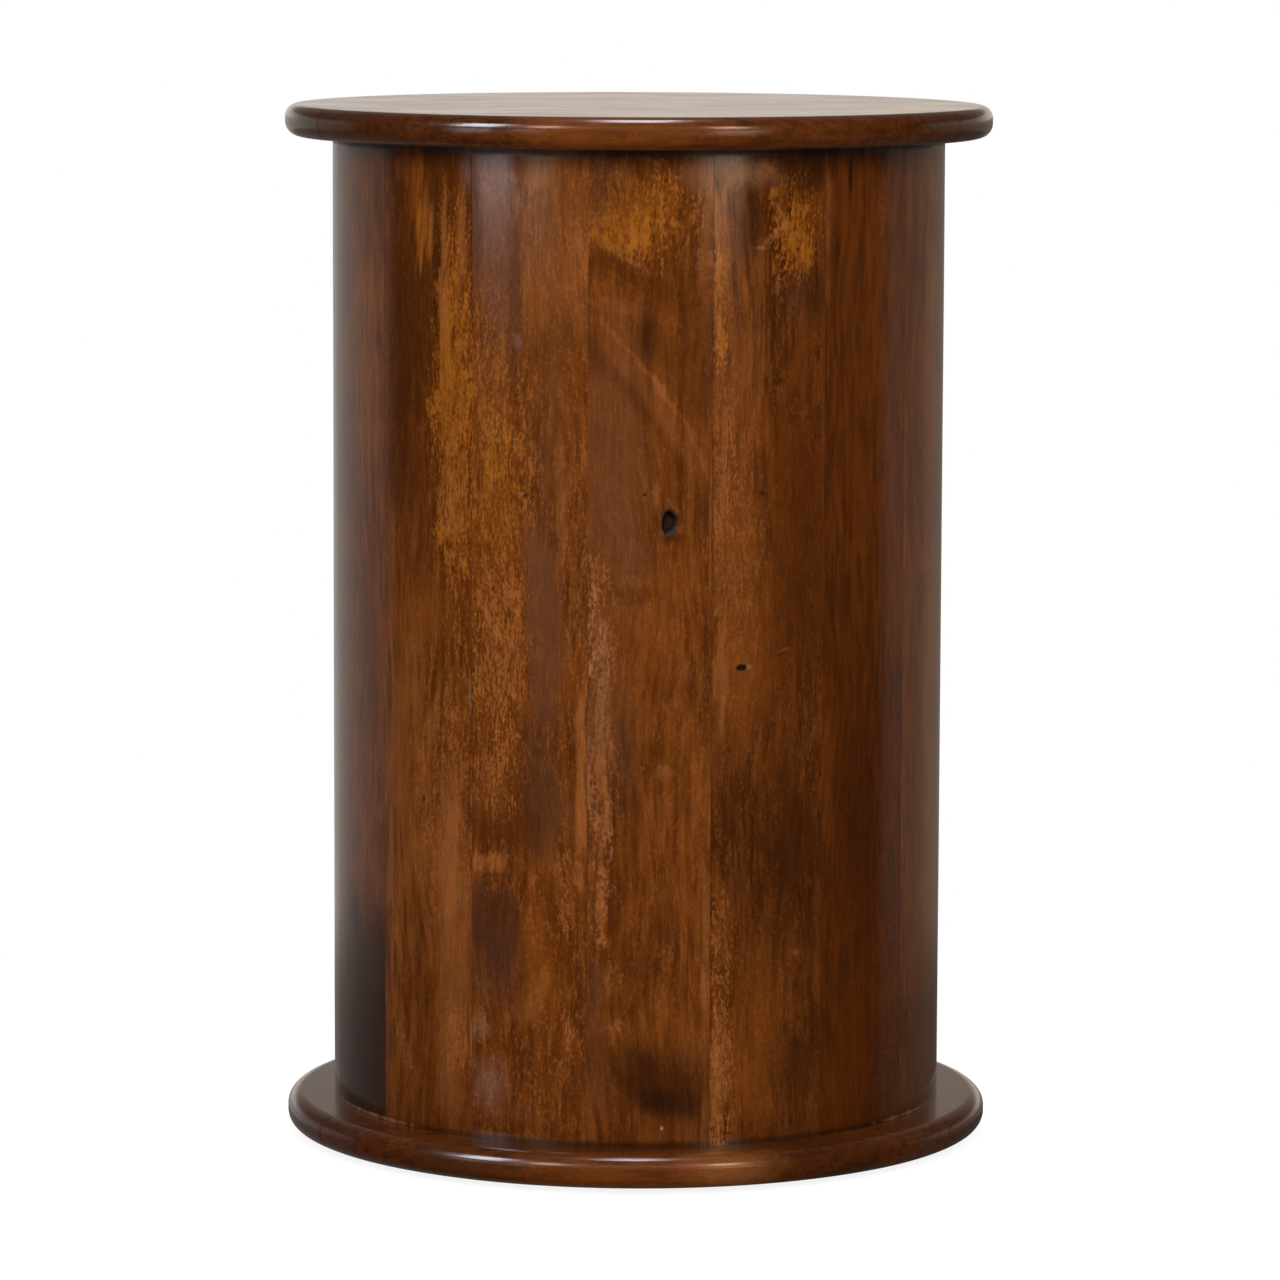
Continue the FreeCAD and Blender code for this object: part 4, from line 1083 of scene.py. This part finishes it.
    right = WoodLook(23.0, Tone.DARK, Tone.MID, Tone.LIGHT, flecks=0.25, patches=(
        Patch((-18.0, 390.0), (13.0, 70.0), Tone.WARM, 0.7, streak, 0.5, 0.8),
        Patch((-15.0, 300.0), (17.0, 70.0), Tone.WARM, 0.75, soft, 0.5, 0.9),
        Patch((16.0, 310.0), (15.0, 75.0), Tone.RED, 0.6, soft, 0.4, 0.9),
        Patch((18.0, 290.0), (13.0, 50.0), Tone.DARK, 0.6, soft, 0.5, 0.9),
        Patch((12.0, 157.0), (22.0, 40.0), Tone.DEEP, 0.8, soft, 0.6, 1.0),
        Patch((-10.0, 92.0), (17.0, 36.0), Tone.WARM, 0.65, soft, 0.5, 0.9),
        Patch((-26.5, 460.0), (4.5, 20.0), Tone.ORANGE, 0.75, streak, 0.6, 0.6),
        Patch((-27.0, 423.0), (4.0, 22.0), Tone.GOLD, 0.7, fleck, 0.7, 0.6),
        Patch((-16.5, 431.0), (3.4, 10.0), Tone.AMBER, 0.7, streak, 0.6, 0.8),
        Patch((-8.0, 408.0), (5.0, 24.0), Tone.LIGHT, 0.4, streak, 0.6, 0.8),
        Patch((-25.0, 350.0), (5.0, 30.0), Tone.ORANGE, 0.55, fleck, 0.8, 0.7),
        Patch((-20.0, 310.0), (10.0, 40.0), Tone.LIGHT, 0.55, fleck, 0.8, 0.8),
        Patch((-26.0, 248.0), (3.6, 16.0), Tone.LIGHT, 0.7, streak, 0.5, 0.6),
        Patch((-23.5, 216.0), (1.6, 18.0), Tone.LIGHT, 0.55, streak, 0.5, 0.6, 6.0),
        Patch((-25.0, 120.0), (5.0, 16.0), Tone.LIGHT, 0.65, fleck, 0.8, 0.6),
        Patch((-25.0, 52.0), (5.0, 40.0), Tone.ORANGE, 0.75, fleck, 0.6, 0.7),
        Patch((-25.0, 48.0), (2.6, 18.0), Tone.ORANGE, 0.5, streak, 0.6, 0.7),
        # painted sheen along the top of the stave
        Patch((-17.0, 487.0), (19.0, 7.5), Tone.PALE, 0.6, soft, 0.4, 0.7, -6.0),
        Patch((0.0, 486.5), (7.0, 2.0), Tone.ORANGE, 0.8, burl, 0.5, 0.6, -42.0),
        Patch((-9.0, 465.0), (11.0, 17.0), Tone.DEEP, 0.8, soft, 0.5, 0.8),
        Patch((17.0, 487.0), (15.0, 8.0), Tone.DEEP, 0.85, soft, 0.4, 0.7),
        Patch((13.0, 458.0), (10.0, 18.0), Tone.AMBER, 0.6, fleck, 1.0, 0.7),
        Patch((13.0, 455.0), (7.5, 12.0), Tone.GOLD, 0.6, fleck, 1.0, 0.6),
        Patch((11.0, 455.0), (3.0, 3.6), Tone.GOLD, 0.8, burl, 0.6, 0.6),
        Patch((18.5, 446.0), (3.4, 6.0), Tone.GOLD, 0.6, burl, 0.9, 0.6),
        Patch((15.0, 469.5), (6.0, 1.6), Tone.GOLD, 0.55, burl, 0.7, 0.6, -10.0),
        Patch((1.0, 475.5), (2.6, 3.2), Tone.GOLD, 0.8, burl, 0.5, 0.6),
        Patch((5.5, 465.0), (7.0, 1.6), Tone.ORANGE, 0.7, burl, 0.6, 0.6, -52.0),
        Patch((1.5, 456.5), (7.0, 1.6), Tone.ORANGE, 0.7, burl, 0.6, 0.6, 44.0),
        Patch((-5.5, 450.3), (3.4, 1.0), Tone.PALE, 0.6, burl, 0.5, 0.6),
        Patch((0.8, 443.0), (2.0, 6.0), Tone.WARM, 0.75, soft, 0.5, 0.7),
        Patch((2.6, 431.0), (1.0, 4.0), Tone.LIGHT, 0.5, soft, 0.3, 0.7),
        Patch((10.0, 428.0), (8.0, 10.0), Tone.DUSK, 0.65, soft, 0.5, 0.9),
        Patch((24.0, 430.0), (6.0, 12.0), Tone.DEEP, 0.6, soft, 0.5, 0.9),
        Patch((20.0, 58.0), (12.0, 20.0), Tone.DEEP, 0.65, soft, 0.5, 0.9),
        Patch((-4.6, 333.8), (1.7, 1.2), Tone.INK, 0.6, solid, 0.2, 0.7),
        Patch((4.5, 387.5), (2.6, 1.6), Tone.DEEP, 0.65, solid, 0.3, 0.7),
        Patch((-11.3, 250.8), (1.4, 1.0), Tone.PALE, 0.6, solid, 0.2, 0.6),
        Patch((-14.8, 250.6), (2.3, 1.3), Tone.INK, 0.95, solid, 0.3, 0.4),
        Patch((8.0, 258.0), (2.6, 0.9), Tone.LIGHT, 0.55, solid, 0.3, 0.6, 20.0),
        Patch((6.5, 256.5), (2.2, 0.7), Tone.INK, 0.55, solid, 0.3, 0.6, 20.0),
        Patch((15.0, 111.0), (1.8, 1.3), Tone.LIGHT, 0.6, solid, 0.2, 0.7),
        Patch((-29.4, 300.0), (0.5, 190.0), Tone.DEEP, 0.45, streak, 0.5, 0.5),
    ))
    far_right = WoodLook(37.0, Tone.DARK, Tone.RED, Tone.MID, flecks=0.15, patches=(
        Patch((4.0, 400.0), (30.0, 120.0), Tone.MID, 0.55, streak, 0.5, 0.8),
        Patch((-28.2, 455.0), (1.8, 30.0), Tone.LIGHT, 0.7, streak, 0.5, 0.6),
        Patch((-18.0, 472.0), (10.0, 20.0), Tone.MID, 0.7, streak, 0.5, 0.8),
        Patch((-14.2, 484.0), (0.9, 8.0), Tone.INK, 0.75, solid, 0.2, 0.6),
        Patch((6.0, 440.0), (7.0, 60.0), Tone.MID, 0.7, streak, 0.6, 0.8),
        Patch((9.0, 463.0), (3.0, 8.0), Tone.WARM, 0.6, fleck, 0.6, 0.7),
        Patch((-26.0, 195.0), (4.0, 24.0), Tone.MID, 0.7, streak, 0.5, 0.8),
        Patch((-4.0, 170.0), (16.0, 40.0), Tone.DEEP, 0.55, soft, 0.5, 1.0),
        Patch((-12.0, 70.0), (14.0, 30.0), Tone.RED, 0.5, soft, 0.5, 0.9),
        Patch((20.0, 330.0), (8.0, 60.0), Tone.MAUVE, 0.4, soft, 0.5, 0.9),
        # painted highlight line along the foot of the stave
        Patch((27.0, 20.5), (15.0, 0.8), Tone.PALE, 0.5, streak, 0.4, 0.8),
    ))
    left = WoodLook(53.0, Tone.BROWN, Tone.WARM, Tone.ORANGE, flecks=0.35, patches=(
        Patch((14.0, 430.0), (17.0, 62.0), Tone.LIGHT, 0.5, soft, 0.6, 0.8),
        Patch((-17.0, 330.0), (14.0, 100.0), Tone.RED, 0.5, soft, 0.5, 0.8),
        Patch((-17.0, 335.0), (14.0, 90.0), Tone.GOLD, 0.6, fleck, 0.7, 0.8),
        Patch((-16.0, 352.0), (7.0, 12.0), Tone.GOLD, 0.65, fleck, 0.7, 0.6),
        Patch((-14.0, 262.0), (12.0, 30.0), Tone.ORANGE, 0.7, fleck, 0.7, 0.5),
        # painted sheen at the top of the stave
        Patch((-14.0, 477.0), (16.0, 24.0), Tone.PAINTED_SHEEN, 0.5, solid, 0.35, 0.7),
        Patch((-16.0, 444.0), (14.0, 28.0), Tone.MAUVE, 0.75, solid, 0.4, 0.8),
        Patch((-28.5, 468.0), (3.4, 26.0), Tone.DUSK, 0.75, soft, 0.3, 0.8),
        Patch((3.0, 483.0), (7.0, 5.0), Tone.ORANGE, 0.8, soft, 0.4, 0.8),
        Patch((-1.0, 462.0), (3.0, 24.0), Tone.ORANGE, 0.45, streak, 0.6, 0.7),
        Patch((-6.5, 425.0), (3.0, 36.0), Tone.DUSK, 0.6, soft, 0.5, 0.8),
        # small spot of painted sheen
        Patch((-5.0, 406.0), (1.6, 3.0), Tone.PAINTED_SHEEN, 0.5, soft, 0.4, 0.8),
        Patch((5.0, 426.0), (5.0, 10.0), Tone.AMBER, 0.6, fleck, 0.6, 0.7),
        Patch((26.0, 445.0), (4.0, 12.0), Tone.ORANGE, 0.5, fleck, 0.6, 0.7),
        Patch((9.0, 398.0), (11.0, 18.0), Tone.BROWN, 0.6, soft, 0.5, 0.9),
        Patch((9.0, 352.0), (7.0, 24.0), Tone.DUSK, 0.55, soft, 0.5, 0.9),
        Patch((17.0, 330.0), (2.6, 28.0), Tone.LIGHT, 0.75, streak, 0.5, 0.7),
        Patch((26.0, 300.0), (5.0, 40.0), Tone.LIGHT, 0.45, fleck, 0.6, 0.7),
        Patch((8.0, 280.0), (9.0, 52.0), Tone.MAUVE, 0.95, solid, 0.3, 0.6),
        Patch((-1.5, 255.0), (2.0, 40.0), Tone.AMBER, 0.5, fleck, 0.6, 0.6),
        Patch((8.0, 236.0), (7.0, 3.0), Tone.LIGHT, 0.55, burl, 0.6, 0.7, 12.0),
        Patch((6.0, 200.0), (10.0, 34.0), Tone.DUSK, 0.85, soft, 0.4, 0.7),
        Patch((0.0, 182.0), (4.0, 26.0), Tone.DARK, 0.5, soft, 0.4, 0.8),
        Patch((-18.0, 196.0), (8.0, 12.0), Tone.ORANGE, 0.6, fleck, 0.8, 0.6),
        Patch((-14.0, 170.0), (16.0, 9.0), Tone.BROWN, 0.7, soft, 0.4, 0.8),
        Patch((-21.5, 155.0), (8.5, 5.0), Tone.ORANGE, 0.95, streak, 0.4, 0.4),
        Patch((-23.0, 129.0), (8.5, 17.0), Tone.DUSK, 0.85, soft, 0.3, 0.25),
        Patch((-12.0, 126.0), (9.5, 21.0), Tone.DUSK, 0.85, soft, 0.3, 0.25),
        Patch((-17.0, 121.0), (13.0, 22.0), Tone.DARK, 0.6, soft, 0.3, 0.5),
        Patch((-14.0, 104.0), (14.0, 22.0), Tone.DUSK, 0.7, soft, 0.4, 0.8),
        Patch((10.0, 112.0), (11.0, 28.0), Tone.AMBER, 0.6, soft, 0.5, 0.8),
        Patch((6.0, 92.0), (4.0, 16.0), Tone.LIGHT, 0.5, soft, 0.5, 0.8, -24.0),
        Patch((19.0, 135.0), (3.0, 9.0), Tone.ORANGE, 0.55, fleck, 0.6, 0.7),
        Patch((21.0, 72.0), (4.0, 8.0), Tone.ORANGE, 0.7, fleck, 0.6, 0.7),
        Patch((27.0, 198.0), (2.6, 40.0), Tone.ORANGE, 0.8, streak, 0.5, 0.5),
        Patch((22.5, 190.0), (1.6, 34.0), Tone.DARK, 0.6, streak, 0.4, 0.7),
        Patch((22.0, 152.0), (5.0, 8.0), Tone.LIGHT, 0.6, fleck, 0.7, 0.6),
        Patch((-22.0, 85.5), (7.0, 1.0), Tone.MAUVE, 0.8, burl, 0.5, 0.6, 6.0),
        Patch((-23.0, 95.0), (6.0, 0.9), Tone.MAUVE, 0.7, burl, 0.5, 0.6, 8.0),
        Patch((-26.0, 74.0), (4.0, 5.0), Tone.PALE, 0.45, streak, 0.7, 0.7),
        # painted sheen near the foot of the stave
        Patch((-19.0, 46.0), (10.0, 14.0), Tone.PAINTED_SHEEN, 0.6, soft, 0.6, 0.9),
        Patch((-8.0, 34.0), (12.0, 6.0), Tone.MAUVE, 0.6, soft, 0.5, 0.8),
        # small spot of painted sheen
        Patch((-2.8, 333.3), (1.2, 0.8), Tone.PAINTED_SHEEN, 0.8, solid, 0.2, 0.6),
        Patch((-1.0, 332.6), (1.8, 1.0), Tone.INK, 0.5, solid, 0.3, 0.7),
        Patch((26.0, 48.0), (6.0, 14.0), Tone.BROWN, 0.6, soft, 0.5, 0.8),
    ))
    far_left = WoodLook(71.0, Tone.BROWN, Tone.MID, Tone.LIGHT, flecks=0.25, patches=(
        Patch((-10.0, 195.0), (24.0, 120.0), Tone.WARM, 0.9, streak, 0.5, 0.6),
        Patch((-12.0, 190.0), (18.0, 80.0), Tone.LIGHT, 0.6, streak, 0.6, 0.7),
        Patch((-12.0, 405.0), (20.0, 92.0), Tone.DARK, 0.65, soft, 0.4, 0.6),
        Patch((-16.0, 395.0), (12.0, 60.0), Tone.DEEP, 0.3, soft, 0.4, 0.9),
        Patch((-5.0, 478.0), (5.5, 18.0), Tone.AMBER, 0.9, streak, 0.4, 0.5),
        Patch((-3.5, 484.0), (3.4, 8.0), Tone.GOLD, 0.7, streak, 0.5, 0.6),
        Patch((0.5, 456.0), (5.0, 15.0), Tone.GOLD, 0.8, streak, 0.5, 0.5),
        Patch((5.5, 462.0), (1.8, 10.0), Tone.ORANGE, 0.6, streak, 0.5, 0.6),
        Patch((-14.0, 486.0), (7.0, 7.0), Tone.WARM, 0.75, streak, 0.5, 0.7),
        Patch((9.0, 440.0), (3.0, 40.0), Tone.DEEP, 0.85, streak, 0.3, 0.5),
        Patch((18.0, 455.0), (4.0, 40.0), Tone.RED, 0.75, streak, 0.4, 0.7),
        Patch((20.0, 368.0), (11.0, 72.0), Tone.AMBER, 0.65, fleck, 0.5, 0.5),
        Patch((19.5, 372.0), (10.0, 74.0), Tone.GOLD, 0.8, fleck, 0.5, 0.5),
        Patch((9.0, 381.0), (4.0, 12.0), Tone.GOLD, 0.65, fleck, 0.5, 0.6, -24.0),
        Patch((15.0, 410.0), (3.6, 32.0), Tone.GOLD, 0.95, streak, 0.4, 0.5),
        Patch((13.4, 440.0), (1.9, 34.0), Tone.ORANGE, 0.9, streak, 0.4, 0.5),
        Patch((23.0, 452.0), (2.6, 18.0), Tone.ORANGE, 0.8, streak, 0.5, 0.6),
        Patch((17.0, 322.0), (6.0, 24.0), Tone.ORANGE, 0.6, fleck, 0.7, 0.6),
        Patch((14.0, 311.0), (5.0, 8.0), Tone.GOLD, 0.7, fleck, 0.6, 0.6),
        Patch((10.5, 338.0), (5.0, 7.0), Tone.DARK, 0.7, soft, 0.5, 0.8),
        Patch((17.0, 306.0), (3.0, 3.0), Tone.DARK, 0.6, solid, 0.4, 0.7),
        Patch((-6.0, 268.0), (3.0, 10.0), Tone.LIGHT, 0.5, fleck, 0.6, 0.7),
        Patch((-7.0, 240.0), (2.4, 24.0), Tone.LIGHT, 0.65, streak, 0.5, 0.7),
        Patch((-4.0, 272.0), (15.0, 24.0), Tone.WARM, 0.6, soft, 0.6, 0.9),
        Patch((15.0, 185.0), (14.0, 42.0), Tone.ORANGE, 0.55, fleck, 0.8, 0.7),
        Patch((28.8, 235.0), (1.0, 9.0), Tone.PALE, 0.6, streak, 0.4, 0.6),
        Patch((18.0, 110.0), (10.0, 66.0), Tone.LIGHT, 0.75, soft, 0.5, 0.6),
        Patch((17.0, 145.0), (4.0, 24.0), Tone.ORANGE, 0.6, streak, 0.6, 0.7),
        Patch((18.0, 64.0), (6.0, 14.0), Tone.ORANGE, 0.7, fleck, 0.6, 0.7),
        Patch((29.2, 66.0), (0.9, 10.0), Tone.PALE, 0.7, streak, 0.4, 0.6),
        Patch((-20.5, 118.0), (2.4, 20.0), Tone.LIGHT, 0.75, fleck, 0.6, 0.6, 8.0),
        Patch((-16.5, 62.0), (2.6, 14.0), Tone.LIGHT, 0.75, fleck, 0.6, 0.6, 24.0),
        Patch((-23.0, 42.0), (4.0, 7.0), Tone.WARM, 0.7, soft, 0.6, 0.7),
        Patch((-2.0, 85.0), (10.0, 40.0), Tone.DARK, 0.5, soft, 0.5, 0.9),
        Patch((0.0, 182.0), (1.2, 1.6), Tone.DEEP, 0.6, solid, 0.3, 0.7),
        # painted highlight line along the foot of the stave
        Patch((-27.0, 20.5), (14.0, 0.8), Tone.PALE, 0.6, streak, 0.4, 0.8),
        Patch((-27.0, 458.0), (2.4, 6.0), Tone.LIGHT, 0.6, soft, 0.4, 0.8),
        Patch((-28.0, 400.0), (1.8, 60.0), Tone.MAUVE, 0.55, soft, 0.3, 0.7),
        # painted sheen near the top right of the stave
        Patch((28.0, 485.0), (5.0, 10.0), Tone.PAINTED_SHEEN, 0.7, soft, 0.4, 0.8),
        Patch((29.4, 465.0), (0.6, 40.0), Tone.INK, 0.6, streak, 0.3, 0.6),
    ))
    side_left = WoodLook(83.0, Tone.BROWN, Tone.WARM, flecks=0.2, depth=0.3, relief=0.5, patches=(
        Patch((-18.0, 300.0), (11.0, 130.0), Tone.DARK, 0.45, streak, 0.5, 0.9),
        Patch((10.0, 390.0), (14.0, 60.0), Tone.LIGHT, 0.5, streak, 0.5, 0.8),
        Patch((-12.0, 300.0), (12.0, 80.0), Tone.MID, 0.6, soft, 0.5, 0.9),
        Patch((14.0, 250.0), (10.0, 40.0), Tone.BROWN, 0.6, soft, 0.5, 0.9),
        Patch((24.0, 470.0), (5.0, 14.0), Tone.DARK, 0.7, soft, 0.4, 0.8),
        # painted dark reflection of the floor over the lower part of the stave, in two layers
        Patch((16.0, 20.0), (90.0, 105.0), Tone.DEEP, 0.9, soft, 0.2, 0.3, 18.0),
        Patch((16.0, 10.0), (90.0, 95.0), Tone.INK, 0.75, soft, 0.2, 0.3, 18.0),
        # painted highlight line along the foot of the stave
        Patch((0.0, 20.5), (60.0, 0.8), Tone.PALE, 0.7, streak, 0.4, 0.5),
    ))
    side_right = WoodLook(87.0, Tone.BROWN, Tone.WARM, flecks=0.2, depth=0.35, relief=0.5, patches=(
        Patch((22.0, 330.0), (7.0, 120.0), Tone.DARK, 0.45, streak, 0.5, 0.9),
        Patch((6.0, 270.0), (12.0, 210.0), Tone.ORANGE, 0.6, soft, 0.4, 0.7),
        Patch((20.0, 140.0), (10.0, 70.0), Tone.AMBER, 0.5, fleck, 0.7, 0.8),
        Patch((-20.0, 400.0), (9.0, 90.0), Tone.BROWN, 0.5, soft, 0.5, 0.9),
        Patch((-14.0, 200.0), (12.0, 90.0), Tone.BROWN, 0.6, soft, 0.5, 0.9),
        # painted dark reflection of the floor over the lower part of the stave
        Patch((0.0, 40.0), (60.0, 55.0), Tone.DEEP, 0.6, soft, 0.3, 0.6),
        # painted highlight line along the foot of the stave
        Patch((0.0, 20.5), (60.0, 0.8), Tone.PALE, 0.6, streak, 0.4, 0.5),
    ))
    others = tuple(quiet_look(index) for index in range(9))
    return (front, right, far_right, side_right, *others, side_left, far_left, left)


def quiet_look(index: int) -> WoodLook:
    """Look of a stave away from the front, with its stains spread by a fixed stride."""
    soft, streak, fleck = Field.SOFT, Field.STREAK, Field.FLECK
    sway = [math.sin(2.4 * index + 1.7 * step) for step in range(8)]
    patches = (
        Patch((12.0 * sway[0], 250.0 + 170.0 * sway[1]), (18.0, 80.0), Tone.DARK, 0.7, soft, 0.5, 0.8),
        Patch((20.0 * sway[2], 260.0 + 150.0 * sway[3]), (4.0, 70.0), Tone.LIGHT, 0.7),
        Patch((15.0 * sway[4], 260.0 + 180.0 * sway[5]), (11.0, 60.0), Tone.AMBER, 0.6, fleck, 0.8),
        Patch((18.0 * sway[6], 240.0 + 160.0 * sway[7]), (8.0, 55.0), Tone.MAUVE, 0.6, soft, 0.4),
        Patch((-20.0 * sway[5], 250.0 - 170.0 * sway[2]), (6.0, 40.0), Tone.DEEP, 0.5, streak, 0.6),
    )
    dark, light = ((Tone.DARK, Tone.MID), (Tone.BROWN, Tone.WARM))[index % 2]
    return WoodLook(90.0 + 13.0 * index, dark, light, flecks=0.25, patches=patches)


def board_looks(seed: float, marks: tuple[Patch, ...]) -> tuple[WoodLook, ...]:
    """Looks of a slab's four boards, from the front to the back.

    Args:
        seed: start of the boards' figures.
        marks: stains on the front board alone.

    Returns:
        One look for each board.
    """
    ends = tuple(Patch((0.0, place), (260.0, 75.0), Tone.DEEP, 0.8, Field.SOFT, 0.3, 0.7)
                 for place in (-180.0, 180.0))
    plain = WoodLook(seed, Tone.DARK, Tone.MID, Tone.WARM, flecks=0.35, depth=0.45, gloss=0.15,
                     relief=0.15, patches=ends)
    front = replace(plain, patches=ends + marks)
    return (front, *(replace(plain, seed=seed + 17.0 * index) for index in range(1, 4)))


def top_marks() -> tuple[Patch, ...]:
    """Stains along the front rim of the top."""
    return (
        Patch((-175.0, -20.0), (26.0, 46.0), Tone.WARM, 0.5, Field.SOFT, 0.5, 0.8),
        Patch((-175.0, 70.0), (26.0, 20.0), Tone.DARK, 0.5, Field.SOFT, 0.5, 0.8),
        Patch((-160.0, -95.0), (26.0, 26.0), Tone.DEEP, 0.5, Field.SOFT, 0.5, 0.8),
    )


def base_marks() -> tuple[Patch, ...]:
    """Stains along the front rim of the base, and painted shade on its flat along the drum's foot."""
    return (
        Patch((-175.0, 46.0), (26.0, 24.0), Tone.ORANGE, 0.7, Field.SOFT, 0.5, 0.8),
        Patch((-175.0, -10.0), (26.0, 40.0), Tone.MID, 0.6, Field.SOFT, 0.5, 0.8),
        Patch((-165.0, 110.0), (26.0, 34.0), Tone.DEEP, 0.6, Field.SOFT, 0.5, 0.8),
        Patch((-150.0, -88.0), (22.0, 12.0), Tone.LIGHT, 0.4, Field.SOFT, 0.5, 0.8),
        # painted shade on the base's flat along the foot of the drum
        Patch((-146.0, 0.0), (18.0, 130.0), Tone.DEEP, 0.75, Field.SOFT, 0.3, 0.5),
    )


def main() -> None:
    """Build the table's looks and the studio around the frame."""
    logging.basicConfig(level=logging.INFO, format="%(message)s")
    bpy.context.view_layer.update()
    finish = WoodFinish(WoodGroups())
    DrumWall(finish, stave_looks(), OpenKnot()).build()
    RoundSlab(finish, board_looks(200.0, top_marks()), "top_board", Slot.TOP,
              upper_round=6.0 * MM, lower_round=7.0 * MM).build()
    RoundSlab(finish, board_looks(300.0, base_marks()), "base_board", Slot.BASE,
              upper_round=7.0 * MM, lower_round=7.0 * MM).build()
    InnerWork(finish).dress()
    Studio().build()


if __name__ == "__main__":
    main()
